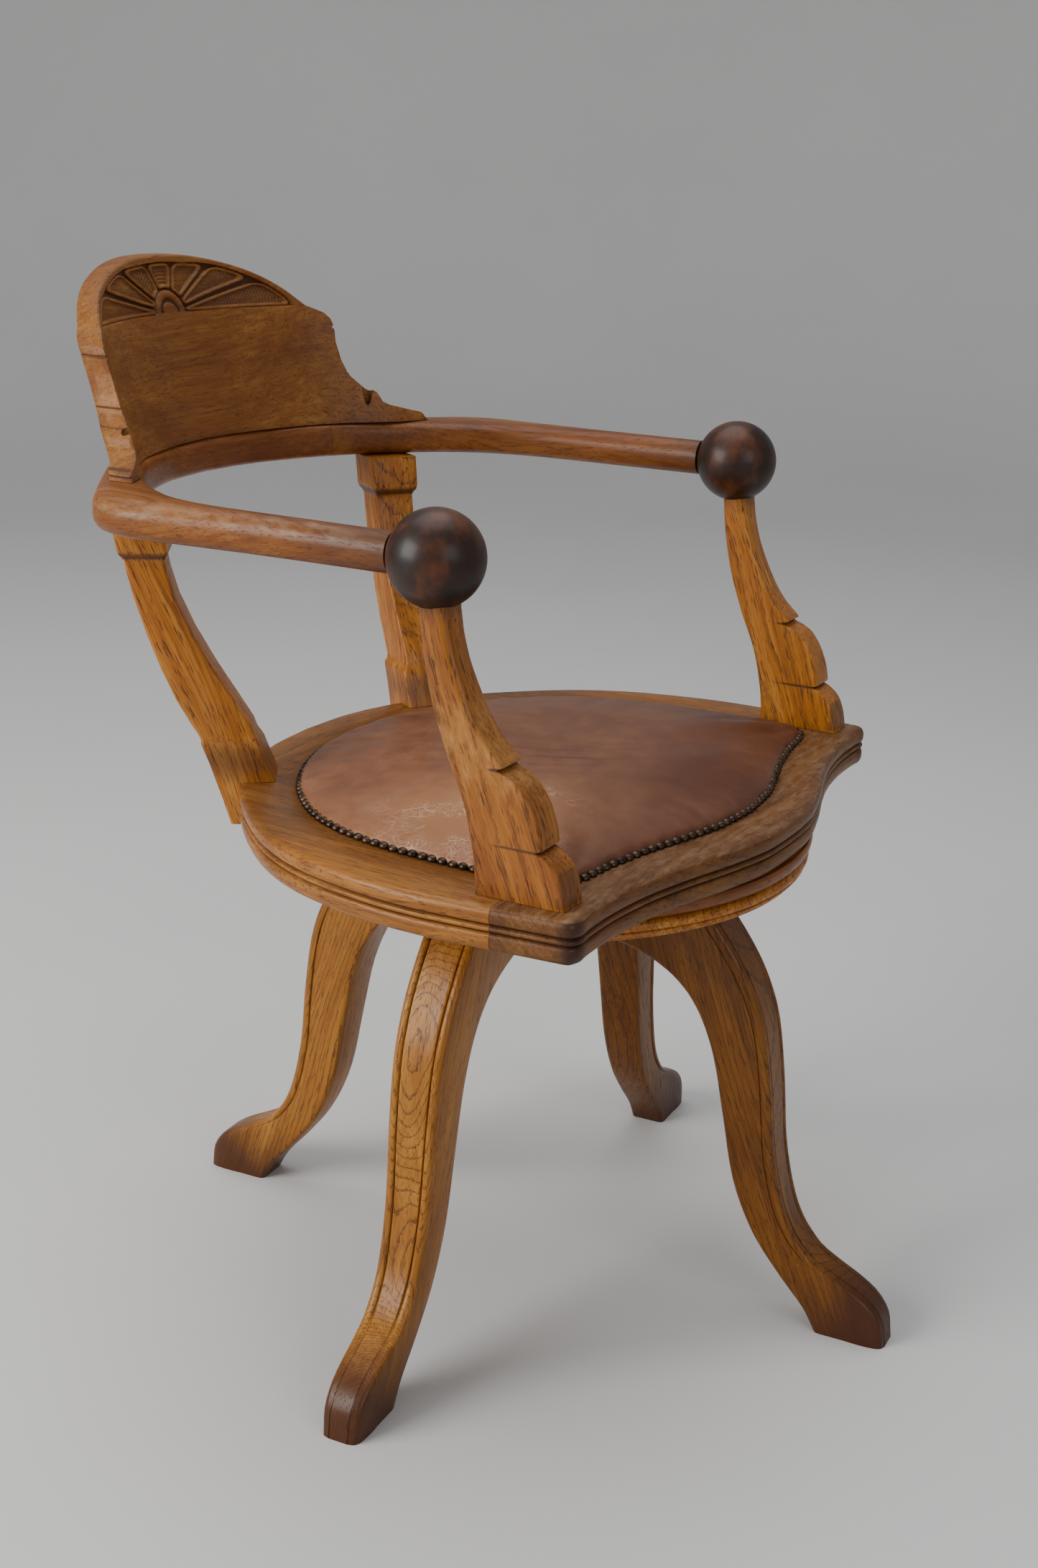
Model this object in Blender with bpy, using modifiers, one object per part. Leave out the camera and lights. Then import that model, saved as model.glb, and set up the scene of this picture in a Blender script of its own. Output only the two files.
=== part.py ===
"""Oak revolving desk chair: four curved legs under a turned disc, and a seat that turns on it.

Metres, +Z up. The origin is on the floor, on the swivel axis, and the sitter faces -Y.
The sitter's left is +X, so left and right in the names are the sitter's.
"""
import math

import bmesh
import bpy
from mathutils import Matrix, Vector

# ---------------------------------------------------------------- driving dimensions
MM = 0.001
GAP = 0.3                      # clearance between touching pieces, mm

BASE_TURN = 2.8                # the legs stand turned this far from the seat's axes, degrees
LEG_TOP_WIDTH = 44.0
LEG_FOOT_WIDTH = 33.0
LEG_TAPER_TOP = 300.0          # the legs keep their full width above this height
HUB_HALF = 32.0
HUB_BOTTOM = 285.0

DISC_BOTTOM = 360.0
DISC_TOP = 375.0
DRUM_TOP = 387.7
DRUM_RADIUS = 213.0
DRUM_INNER = 178.0
SOCKET_RADIUS = 17.0
SOCKET_LOW = 300.0
FLANGE_RADIUS = 75.0
SPINDLE_RADIUS = 11.0
STUD_RADIUS = 8.0              # the spindle's thinner lower end, which takes the nut
PLATE_RADIUS = 95.0
PLATE_THICK = 5.0
WASHER_THICK = 3.0
WASHER_RADIUS = 28.0
SOCKET_SCREW_CIRCLE = 58.0
PLATE_SCREW_CIRCLE = 78.0
SCREW_HOLE_RADIUS = 3.1

RIM_BOTTOM = 388.0
RIM_TOP = 420.0
RIM_EDGE = 4.0                 # how far the rim's top and bottom edges are rounded in
LEDGE_TOP = 406.0
LEDGE_SCALE = 0.87             # the opening inside the ledge, as a share of the pad's outline
BOARD_TOP = 416.0
PAD_CROWN = 444.0
PAD_CLEARANCE = 0.5            # between the pad or its board and the rim's recess
FRONT_JOINT_Y = -110.0         # where the front rail meets the side rails

ARM_POST_IN = 231.5            # inner and outer faces of the front arm posts
ARM_POST_OUT = 258.5
BALL_CENTRE = (244.5, -47.7, 639.5)
BALL_RADIUS = 33.3
TENON_RADIUS = 7.5

BOW_BOTTOM = 625.0
BOW_TOP = 653.5
BOW_JOINT = 12                 # station where an arm meets the middle of the bow

REAR_POST_ANGLE = 57.0         # plan direction of the rear posts' own plane, degrees
REAR_POST_OFFSET = 4.0         # that plane's distance from the swivel axis
REAR_POST_WIDTH = 43.0         # across the block and the foot
REAR_SHAFT_WIDTH = 35.0
REAR_SHAFT_LOW = 452.0         # the shaft is narrower between these heights
REAR_SHAFT_HIGH = 594.0
REAR_LAP = 222.0               # the post's foot laps the rim's edge outside this distance

PANEL_LEAN = 0.335             # rearward millimetres for each millimetre of height
PANEL_THICK = 20.0
PANEL_BOTTOM = BOW_TOP + GAP
PANEL_SCREW = (163.0, 271.0)
PANEL_SCREW_SEAT = 666.0

TURN_STEPS = 40

# ---------------------------------------------------------------- outlines, millimetres
# One leg in its own upright plane: distance from the axis, height. Down the front to the toe.
LEG_FRONT = [(132, DISC_BOTTOM - GAP), (152, 338), (172, 313), (190, 284), (203, 249), (211, 198),
             (217, 142), (230, 93), (249, 65), (268, 53), (287, 44), (302, 34), (312, 20), (315, 0)]
# Up the back of the leg, from the heel to the hub.
LEG_BACK = [(258, 0), (247, 19), (224, 45), (201, 76), (183, 118), (172, 172), (161, 223),
            (144, 261), (120, 284), (86, 298), (54, 302), (32.3, 302)]

# Right-hand half of the seat rim in plan, from the middle of the front to the front corner.
RIM_FRONT = [(0, -213.5), (25, -212.8), (50, -210), (88, -200.5), (130, -187.5), (170, -177.5),
             (212, -172), (245, -171.2), (260, -172.2), (268, -169.8)]
# On from that corner, round the side to the middle of the back.
RIM_SIDE = [(268, -169.8), (271.6, -165), (273, -152), (274.5, -130), (277.5, -92), (279, -50), (275, -8), (262, 46), (241, 90),
            (210, 130), (163, 174), (110, 206), (56, 223), (0, 228)]
# The leather's edge in plan, the same way round.
PAD_FRONT = [(0, -178), (46, -173.5), (90, -162), (126, -151.5), (166, -143), (202, -138),
             (217, -131), (222.5, -116)]
PAD_SIDE = [(222.5, -116), (222.5, -64), (220.5, -22), (215, 19), (206, 51), (191, 82), (168, 111),
            (137, 138), (94, 163), (48, 178), (0, 183)]

# The pad's swell: share of its plan size, share of its rise.
PAD_SWELL = [(1.0, 0.0), (1.0, 0.12), (0.96, 0.36), (0.85, 0.65), (0.6, 0.9), (0.3, 1.0)]

# Front arm post in the upright plane along the seat: y, height. Up the rear edge.
ARM_POST_REAR = [(-88.5, 420.3), (-86, 448), (-78, 482), (-65, 513), (-53, 545), (-45, 578),
                 (-41.5, 608)]
# Down the front edge: a long hollow, then two lobes, each ending on a small step.
ARM_POST_HOLLOW = [(-63, 608), (-66, 589), (-73, 566), (-84, 541), (-95, 524), (-107.5, 511.6)]
ARM_POST_NOTCH = [(-102.5, 508.4)]
ARM_POST_LOBE_1 = [(-106, 506.6), (-120, 499), (-130, 486), (-136, 471), (-138, 460)]
ARM_POST_QUIRK = [(-133.5, 457)]
ARM_POST_LOBE_2 = [(-137, 455.6), (-149, 446), (-154, 434), (-156.5, 420.3)]

# Rear post in its own plane: distance along the plane from the axis's nearest point, height.
REAR_POST_BACK = [(243, 386), (250, 408), (258, 432), (264, 448)]
REAR_POST_BACK_SHAFT = [(266, 456), (281, 480), (296, 514), (307, 545), (315, 573), (318.5, 591)]
REAR_POST_BLOCK = [(323, 597), (328, BOW_BOTTOM - GAP), (290, BOW_BOTTOM - GAP), (286, 598)]
REAR_POST_FRONT_SHAFT = [(288, 590), (281, 562), (269, 535), (254, 508), (239, 484), (225, 463)]
REAR_POST_COLLAR = [(219, 449), (208, 420.3)]

# Arm bow in plan, as pairs of inner and outer points, with how square each section is.
BOW_STATIONS = [
    ((231.8, -15), (257.2, -15), 2.0), ((231.3, 20), (257.5, 20), 2.0),
    ((230.5, 60), (258, 60), 2.1), ((229.5, 100), (259.5, 100), 2.3),
    ((227, 137), (262, 139), 2.7), ((221, 166), (265, 170), 3.2),
    ((212, 189), (266.5, 197.5), 4.0), ((201, 208), (258.5, 221), 4.5),
    ((190, 225), (242, 240), 4.5), ((178, 240), (220.5, 256), 4.5),
    ((165, 254), (197, 273), 4.5), ((149, 268), (171, 291), 4.5),
    ((127, 283.5), (141, 310), 4.5), ((98, 298), (108, 326.5), 4.5),
    ((52, 314), (57, 343.5), 4.5), ((0, 320), (0, 350), 4.5)]

# Inner face of the back panel in plan, where it stands on the bow.
PANEL_PLAN = [(0, 321), (42, 317), (78, 308), (115, 294.5), (146, 275), (170, 253), (188, 241),
              (210, 231)]
# Right-hand half of the panel's outline: x, height. From the middle of the top down.
PANEL_ARCH = [(0, 798), (34, 796.5), (68, 790.5), (98, 781), (120, 768.5), (137, 752)]
PANEL_SHOULDER = [(140, 749.5), (146, 748), (151, 743), (152.5, 734)]
PANEL_COVE = [(151, 722), (151.5, 706), (154.5, 693), (160, 685)]
PANEL_FOOT = [(164, 683), (169, 679), (171.5, 671)]
PANEL_TIP = [(176, 668), (189, 664), (202, 660.5), (206, PANEL_BOTTOM)]

# ---------------------------------------------------------------- colours
MATERIALS = {
    "oak_honey": ((0.42, 0.19, 0.05), 0.38, 0.0),
    "oak_brown": ((0.23, 0.09, 0.03), 0.36, 0.0),
    "oak_drum": ((0.16, 0.05, 0.018), 0.40, 0.0),
    "ball_dark": ((0.035, 0.018, 0.012), 0.30, 0.0),
    "pine": ((0.50, 0.33, 0.17), 0.70, 0.0),
    "leather": ((0.27, 0.085, 0.04), 0.42, 0.0),
    "iron": ((0.09, 0.085, 0.08), 0.55, 1.0),
    "brass": ((0.45, 0.32, 0.12), 0.40, 1.0),
}


# ---------------------------------------------------------------- scene set-up
def clear_scene():
    for obj in list(bpy.data.objects):
        bpy.data.objects.remove(obj, do_unlink=True)


def new_collection(name):
    collection = bpy.data.collections.new(name)
    bpy.context.scene.collection.children.link(collection)
    return collection


def make_materials():
    made = {}
    for name, (colour, roughness, metallic) in MATERIALS.items():
        material = bpy.data.materials.new(name)
        material.use_nodes = True
        shader = material.node_tree.nodes["Principled BSDF"]
        shader.inputs["Base Color"].default_value = (*colour, 1.0)
        shader.inputs["Roughness"].default_value = roughness
        shader.inputs["Metallic"].default_value = metallic
        made[name] = material
    return made


clear_scene()
CHAIR = new_collection("revolving_desk_chair")
CUTTERS = new_collection("cutters")
MATERIAL = make_materials()


def add_piece(name, mesh, material, parent=None, smooth=False):
    """Link a mesh as one named piece of the chair."""
    obj = bpy.data.objects.new(name, mesh)
    CHAIR.objects.link(obj)
    mesh.materials.clear()
    mesh.materials.append(MATERIAL[material])
    if parent is not None:
        obj.parent = parent
        obj.matrix_parent_inverse = Matrix.Translation(-parent.location)
    if smooth:
        mesh.shade_smooth()
        mesh.set_sharp_from_angle(angle=math.radians(35))
    return obj


def add_cutter(name, mesh):
    obj = bpy.data.objects.new(name, mesh)
    CUTTERS.objects.link(obj)
    obj.hide_render = True
    obj.display_type = 'WIRE'
    return obj


def combine(piece, cutter, operation='DIFFERENCE'):
    modifier = piece.modifiers.new(operation.lower() + "_" + cutter.name, 'BOOLEAN')
    modifier.operation = operation
    modifier.solver = 'EXACT'
    modifier.object = cutter


# ---------------------------------------------------------------- shapes
def smooth_path(points, per_span=2):
    """Points along a Catmull-Rom curve through the given points, ends included."""
    pts = [Vector(p) for p in points]
    ends = [pts[0] * 2 - pts[1]] + pts + [pts[-1] * 2 - pts[-2]]
    path = []
    for i in range(1, len(ends) - 2):
        a, b, c, d = ends[i - 1:i + 3]
        for k in range(per_span):
            t = k / per_span
            path.append(0.5 * (2 * b + (c - a) * t + (2 * a - 5 * b + 4 * c - d) * t ** 2
                               + (3 * b - a - 3 * c + d) * t ** 3))
    path.append(pts[-1])
    return [tuple(p) for p in path]


def mirror_plan(half):
    """Close a half outline that runs from x = 0 to x = 0 with its mirror image."""
    return half + [(-x, y) for x, y in reversed(half[1:-1])]


def inset_outline(outline, distance):
    """Move each point of a closed outline inwards along its normal."""
    area = sum(a[0] * b[1] - b[0] * a[1] for a, b in zip(outline, outline[1:] + outline[:1]))
    side = 1.0 if area > 0 else -1.0
    moved = []
    for before, point, after in zip(outline[-1:] + outline[:-1], outline, outline[1:] + outline[:1]):
        along = (Vector(after) - Vector(before)).normalized()
        moved.append((point[0] - side * along.y * distance, point[1] + side * along.x * distance))
    return moved


def scaled_outline(outline, share):
    return [(x * share, y * share) for x, y in outline]


def flat_outline(outline, thickness):
    """Mesh of a filled 2D curve, extruded by half its thickness each way along its own Z."""
    curve = bpy.data.curves.new("outline", 'CURVE')
    curve.dimensions = '2D'
    curve.fill_mode = 'BOTH'
    curve.extrude = thickness / 2 * MM
    spline = curve.splines.new('POLY')
    spline.points.add(len(outline) - 1)
    for point, (x, y) in zip(spline.points, outline):
        point.co = (x * MM, y * MM, 0.0, 1.0)
    spline.use_cyclic_u = True
    holder = bpy.data.objects.new("outline", curve)
    bpy.context.scene.collection.objects.link(holder)
    evaluated = holder.evaluated_get(bpy.context.evaluated_depsgraph_get())
    mesh = bpy.data.meshes.new_from_object(evaluated)
    bpy.data.objects.remove(holder, do_unlink=True)
    bpy.data.curves.remove(curve)
    bm = bmesh.new()
    bm.from_mesh(mesh)
    bmesh.ops.remove_doubles(bm, verts=bm.verts, dist=0.00001)
    bmesh.ops.recalc_face_normals(bm, faces=bm.faces)
    bm.to_mesh(mesh)
    bm.free()
    return mesh


def slab(outline, bottom, top):
    """A plan outline as a solid between two heights."""
    mesh = flat_outline(outline, top - bottom)
    mesh.transform(Matrix.Translation((0, 0, (top + bottom) / 2 * MM)))
    return mesh


def upright_board(outline, thickness, angle, offset=0.0):
    """A board in an upright plane: the outline's x runs out along angle, its y runs up."""
    mesh = flat_outline(outline, thickness)
    mesh.transform(Matrix.Rotation(math.radians(90), 4, 'X'))
    mesh.transform(Matrix.Translation((0, -offset * MM, 0)))
    mesh.transform(Matrix.Rotation(math.radians(angle), 4, 'Z'))
    return mesh


def loft(rings):
    """Closed solid through a stack of rings with equal numbers of points, in millimetres."""
    bm = bmesh.new()
    rows = [[bm.verts.new(Vector(p) * MM) for p in ring] for ring in rings]
    count = len(rows[0])
    for low, high in zip(rows, rows[1:]):
        for i in range(count):
            j = (i + 1) % count
            bm.faces.new((low[i], low[j], high[j], high[i]))
    bm.faces.new(list(reversed(rows[0])))
    bm.faces.new(rows[-1])
    bmesh.ops.recalc_face_normals(bm, faces=bm.faces)
    mesh = bpy.data.meshes.new("loft")
    bm.to_mesh(mesh)
    bm.free()
    return mesh


def turned(profile, steps=TURN_STEPS, closed=False):
    """A profile of (radius, height), down its outer side, turned about Z by a Screw modifier."""
    bm = bmesh.new()
    verts = [bm.verts.new((r * MM, 0, z * MM)) for r, z in profile]
    pairs = list(zip(verts, verts[1:]))
    if closed:
        pairs.append((verts[-1], verts[0]))
    for a, b in pairs:
        bm.edges.new((a, b))
    mesh = bpy.data.meshes.new("profile")
    bm.to_mesh(mesh)
    bm.free()
    holder = bpy.data.objects.new("profile", mesh)
    bpy.context.scene.collection.objects.link(holder)
    screw = holder.modifiers.new("turn", 'SCREW')
    screw.steps = steps
    screw.render_steps = steps
    screw.use_merge_vertices = True
    screw.merge_threshold = 0.00001
    evaluated = holder.evaluated_get(bpy.context.evaluated_depsgraph_get())
    solid = bpy.data.meshes.new_from_object(evaluated)
    bpy.data.objects.remove(holder, do_unlink=True)
    bpy.data.meshes.remove(mesh)
    bm = bmesh.new()
    bm.from_mesh(solid)
    bmesh.ops.remove_doubles(bm, verts=bm.verts, dist=0.00001)
    bmesh.ops.recalc_face_normals(bm, faces=bm.faces)
    bm.to_mesh(solid)
    bm.free()
    return solid


def rod(radius, low, high, steps=16):
    """A plain round bar along Z."""
    return turned([(0, high), (radius, high), (radius, low), (0, low)], steps)


def placed(mesh, x, y, z=0.0):
    mesh.transform(Matrix.Translation((x * MM, y * MM, z * MM)))
    return mesh


# ---------------------------------------------------------------- base: legs, hub, disc
def leg_outline():
    return smooth_path(LEG_FRONT) + smooth_path(LEG_BACK) + [(HUB_HALF + GAP, DISC_BOTTOM - GAP)]


def make_leg(name, angle):
    """One sawn leg, narrowing towards the foot."""
    mesh = upright_board(leg_outline(), LEG_TOP_WIDTH, 0.0)
    for vert in mesh.vertices:
        share = min(1.0, vert.co.z / (LEG_TAPER_TOP * MM))
        width = LEG_FOOT_WIDTH + (LEG_TOP_WIDTH - LEG_FOOT_WIDTH) * share
        vert.co.y *= width / LEG_TOP_WIDTH
    mesh.transform(Matrix.Rotation(math.radians(angle), 4, 'Z'))
    add_piece(name, mesh, "oak_honey")


def make_legs():
    for name, angle in (("leg_front", -90), ("leg_left", 0), ("leg_back", 90), ("leg_right", 180)):
        make_leg(name, angle + BASE_TURN)


def make_hub():
    half = HUB_HALF
    square = [(half, half), (-half, half), (-half, -half), (half, -half)]
    mesh = slab(square, HUB_BOTTOM, DISC_BOTTOM - GAP)
    mesh.transform(Matrix.Rotation(math.radians(BASE_TURN), 4, 'Z'))
    hub = add_piece("hub_block", mesh, "oak_honey")
    combine(hub, add_cutter("hub_bore", rod(SOCKET_RADIUS + GAP, HUB_BOTTOM - 5, DISC_TOP, 24)))


def make_disc():
    """The moulded disc on top of the legs: a bead, a quirk and a rounded upper edge."""
    bore = SOCKET_RADIUS + GAP
    profile = [(bore, DISC_TOP), (207, DISC_TOP), (211, 373), (212, 369.5), (209.5, 367),
               (210, 364.5), (207.5, 362), (205, DISC_BOTTOM), (bore, DISC_BOTTOM)]
    add_piece("base_disc", turned(profile, closed=True), "oak_honey", smooth=True)


# ---------------------------------------------------------------- swivel iron
FLANGE_LOW = DISC_TOP + GAP
FLANGE_TOP = FLANGE_LOW + 4.0
WASHER_LOW = FLANGE_TOP + GAP
WASHER_TOP = WASHER_LOW + WASHER_THICK
PLATE_TOP = LEDGE_TOP
PLATE_LOW = PLATE_TOP - PLATE_THICK


def polar(radius, angle):
    return radius * math.cos(math.radians(angle)), radius * math.sin(math.radians(angle))


def screw_circle(radius):
    """Number and plan position of each of four screws set between the legs."""
    return [(k + 1, polar(radius, 45 + 90 * k)) for k in range(4)]


def drill(piece, name, place, low, high, radius=SCREW_HOLE_RADIUS):
    """Take a round upright hole out of a piece."""
    combine(piece, add_cutter(name, placed(rod(radius, low, high, 12), *place)))


def make_screw(name, place, head, tip, material_parent, head_radius=5.5, shank=2.8):
    """A wood screw as a turned head and shank, pointing from its head's height to its tip's."""
    down = 1 if head > tip else -1
    shoulder = head - down * 2.0
    profile = [(0, head), (head_radius, head), (head_radius, shoulder), (shank, shoulder),
               (shank, tip + down * 3), (0.8, tip), (0, tip)]
    if down < 0:
        profile.reverse()
    add_piece(name, placed(turned(profile, 12), *place), "iron", material_parent, smooth=True)


def make_socket():
    """Flanged iron bush let down through the disc and the hub, held by four screws."""
    bore = SPINDLE_RADIUS + GAP
    profile = [(bore, FLANGE_TOP), (FLANGE_RADIUS, FLANGE_TOP), (FLANGE_RADIUS, FLANGE_LOW),
               (SOCKET_RADIUS, FLANGE_LOW), (SOCKET_RADIUS, SOCKET_LOW), (bore, SOCKET_LOW)]
    socket = add_piece("swivel_socket", turned(profile, 32, closed=True), "iron", smooth=True)
    disc = bpy.data.objects["base_disc"]
    for number, place in screw_circle(SOCKET_SCREW_CIRCLE):
        drill(socket, "socket_hole_%d" % number, place, 370, 385)
        drill(disc, "disc_pilot_%d" % number, place, 361, 380)
        make_screw("socket_screw_%d" % number, place, FLANGE_TOP + 2.3, 362, None)


def make_swivel(seat):
    """Seat plate with its spindle, the thrust washer under it, and the nut that keeps it down."""
    boss_low = WASHER_TOP + GAP
    profile = [(0, PLATE_TOP), (PLATE_RADIUS, PLATE_TOP), (PLATE_RADIUS, PLATE_LOW), (34, PLATE_LOW),
               (WASHER_RADIUS, boss_low), (SPINDLE_RADIUS, boss_low), (SPINDLE_RADIUS, 292),
               (STUD_RADIUS, 291), (STUD_RADIUS, 268), (0, 268)]
    plate = add_piece("swivel_plate", turned(profile, 32), "iron", seat, smooth=True)
    bore = SPINDLE_RADIUS + GAP
    ring = [(bore, WASHER_TOP), (WASHER_RADIUS, WASHER_TOP), (WASHER_RADIUS, WASHER_LOW),
            (bore, WASHER_LOW)]
    add_piece("thrust_washer", turned(ring, 24, closed=True), "brass", smooth=True)
    keeper_top = HUB_BOTTOM - GAP
    keeper_low = keeper_top - WASHER_THICK
    bore = STUD_RADIUS + GAP
    ring = [(bore, keeper_top), (22, keeper_top), (22, keeper_low), (bore, keeper_low)]
    add_piece("keeper_washer", turned(ring, 24, closed=True), "iron", seat, smooth=True)
    hexagon = [polar(13, 60 * k) for k in range(6)]
    nut = add_piece("spindle_nut", slab(hexagon, 270.5, keeper_low - GAP), "iron", seat)
    drill(nut, "nut_bore", (0, 0), 265, 290, bore)
    for number, place in screw_circle(PLATE_SCREW_CIRCLE):
        drill(plate, "plate_hole_%d" % number, place, 395, 410)
        make_screw("plate_screw_%d" % number, place, PLATE_LOW - 2.3, 414, seat)


def make_drum(seat):
    """The ring under the rim that hides the swivel, rounded in at its lower edge."""
    low = DISC_TOP + GAP
    profile = [(DRUM_INNER, DRUM_TOP), (DRUM_RADIUS + 1, DRUM_TOP), (DRUM_RADIUS + 1.5, 384),
               (DRUM_RADIUS, 379), (DRUM_RADIUS - 3, low), (DRUM_INNER, low)]
    add_piece("seat_drum", turned(profile, closed=True), "oak_drum", seat, smooth=True)


# ---------------------------------------------------------------- seat frame
def rim_outline():
    return mirror_plan(smooth_path(RIM_FRONT)[:-1] + smooth_path(RIM_SIDE))


def pad_outline():
    return mirror_plan(smooth_path(PAD_FRONT)[:-1] + smooth_path(PAD_SIDE))


def rear_post_point(along, across):
    """Plan position in the left-hand rear post's own plane."""
    turn = math.radians(REAR_POST_ANGLE)
    return (along * math.cos(turn) + across * math.sin(turn),
            along * math.sin(turn) - across * math.cos(turn))


def rim_regions():
    """Plan areas of the four rails, apart by one gap at each joint."""
    far, half = 400.0, GAP / 2
    y = FRONT_JOINT_Y
    side = REAR_POST_OFFSET
    inner, outer = rear_post_point(0, side + half), rear_post_point(500, side + half)
    back_inner, back_outer = rear_post_point(60, side - half), rear_post_point(500, side - half)
    front = [(-far, -far), (far, -far), (far, y - half), (-far, y - half)]
    left = [(inner[0], y + half), (far, y + half), (far, outer[1]), outer, inner]
    back = [back_inner, back_outer, (-back_outer[0], back_outer[1]), (-back_inner[0], back_inner[1])]
    right = [(-px, py) for px, py in left]
    return {"rim_front": front, "rim_side_left": left, "rim_back": back, "rim_side_right": right}


def make_rim(seat):
    """Moulded frame of four rails with a ledge inside for the seat board."""
    outline = rim_outline()
    levels = ((RIM_EDGE, RIM_BOTTOM), (0, RIM_BOTTOM + RIM_EDGE), (0, RIM_TOP - RIM_EDGE),
              (RIM_EDGE, RIM_TOP))
    rings = [[(x, y, z) for x, y in inset_outline(outline, inset)] for inset, z in levels]
    pad = pad_outline()
    recess = add_cutter("board_recess", slab(pad, LEDGE_TOP, RIM_TOP + 5))
    hole = scaled_outline(pad, LEDGE_SCALE)
    opening = add_cutter("seat_opening", slab(hole, RIM_BOTTOM - 5, LEDGE_TOP + 5))
    half = REAR_POST_WIDTH / 2 + GAP
    laps = []
    for side in (1, -1):
        corners = [rear_post_point(REAR_LAP - GAP, REAR_POST_OFFSET - half),
                   rear_post_point(REAR_LAP + 60, REAR_POST_OFFSET - half),
                   rear_post_point(REAR_LAP + 60, REAR_POST_OFFSET + half),
                   rear_post_point(REAR_LAP - GAP, REAR_POST_OFFSET + half)]
        area = [(side * x, y) for x, y in corners]
        laps.append(add_cutter("post_lap_%s" % ("left" if side > 0 else "right"), slab(area, 380, 430)))
    for name, region in rim_regions().items():
        rail = add_piece(name, loft(rings), "oak_honey", seat)
        combine(rail, add_cutter(name + "_area", slab(region, 380, 430)), 'INTERSECT')
        combine(rail, recess)
        combine(rail, opening)
        if name != "rim_front":
            for lap in laps:
                combine(rail, lap)


def make_seat(seat):
    """Board on the ledge, and the stuffed leather pad on the board."""
    pad = pad_outline()
    solid = slab(inset_outline(pad, PAD_CLEARANCE), LEDGE_TOP + GAP, BOARD_TOP)
    board = add_piece("seat_board", solid, "pine", seat)
    for number, place in screw_circle(PLATE_SCREW_CIRCLE):
        drill(board, "board_pilot_%d" % number, place, 400, 414.5)
    rise = PAD_CROWN - BOARD_TOP - GAP
    edge = inset_outline(pad, PAD_CLEARANCE)
    rings = []
    for scale, height in PAD_SWELL:
        z = BOARD_TOP + GAP + rise * height
        rings.append([(x * scale, y * scale, z) for x, y in edge])
    add_piece("seat_pad", loft(rings), "leather", seat, smooth=True)


# ---------------------------------------------------------------- arms
def make_arm_posts(seat):
    outline = (smooth_path(ARM_POST_REAR) + smooth_path(ARM_POST_HOLLOW) + ARM_POST_NOTCH
               + smooth_path(ARM_POST_LOBE_1) + ARM_POST_QUIRK + smooth_path(ARM_POST_LOBE_2))
    middle = (ARM_POST_IN + ARM_POST_OUT) / 2
    for side, name in ((1, "left"), (-1, "right")):
        mesh = upright_board(outline, ARM_POST_OUT - ARM_POST_IN, 90.0, side * middle)
        post = add_piece("arm_post_" + name, mesh, "oak_honey", seat)
        tenon = rod(TENON_RADIUS, 600, 626, 12)
        combine(post, add_cutter("post_tenon_" + name, placed(tenon, side * BALL_CENTRE[0], -51)), 'UNION')


def make_balls(seat):
    """Turned balls, flat where each stands on its post and bored for the two tenons."""
    for side, name in ((1, "left"), (-1, "right")):
        arc = [(math.sin(math.radians(a)) * BALL_RADIUS, math.cos(math.radians(a)) * BALL_RADIUS)
               for a in range(0, 181, 15)]
        arc[0], arc[-1] = (0, BALL_RADIUS), (0, -BALL_RADIUS)
        x, y, z = side * BALL_CENTRE[0], BALL_CENTRE[1], BALL_CENTRE[2]
        ball = add_piece("ball_" + name, placed(turned(arc, 24), x, y, z), "ball_dark", seat, smooth=True)
        foot = slab([(-40, -40), (40, -40), (40, 40), (-40, 40)], 580, 608 + GAP)
        combine(ball, add_cutter("ball_foot_" + name, placed(foot, x, y)))
        bore = rod(TENON_RADIUS + GAP, 600, 626 + GAP, 12)
        combine(ball, add_cutter("ball_bore_" + name, placed(bore, x, -51)))
        flat = slab([(-40, BOW_STATIONS[0][0][1] - GAP), (40, BOW_STATIONS[0][0][1] - GAP),
                     (40, 30), (-40, 30)], 600, 680)
        combine(ball, add_cutter("ball_back_" + name, placed(flat, x, 0)))
        peg = turned([(0, 0), (TENON_RADIUS + GAP, 0), (TENON_RADIUS + GAP, -28), (0, -28)], 12)
        peg.transform(Matrix.Rotation(math.radians(-90), 4, 'X'))
        middle_z = (BOW_TOP + BOW_BOTTOM) / 2
        combine(ball, add_cutter("ball_arm_bore_" + name, placed(peg, x, -10, middle_z)))


def bow_section(inner, outer, squareness, points=14):
    """Upright section of the bow between an inner and an outer edge, as a superellipse."""
    middle = (Vector(inner) + Vector(outer)) / 2
    reach = (Vector(outer) - Vector(inner)) / 2
    half_height = (BOW_TOP - BOW_BOTTOM) / 2
    ring = []
    for k in range(points):
        turn = 2 * math.pi * (k + 0.5) / points
        across = math.copysign(abs(math.cos(turn)) ** (2 / squareness), math.cos(turn))
        up = math.copysign(abs(math.sin(turn)) ** (2 / squareness), math.sin(turn))
        place = middle + reach * across
        ring.append((place.x, place.y, (BOW_TOP + BOW_BOTTOM) / 2 + half_height * up))
    return ring


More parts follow.
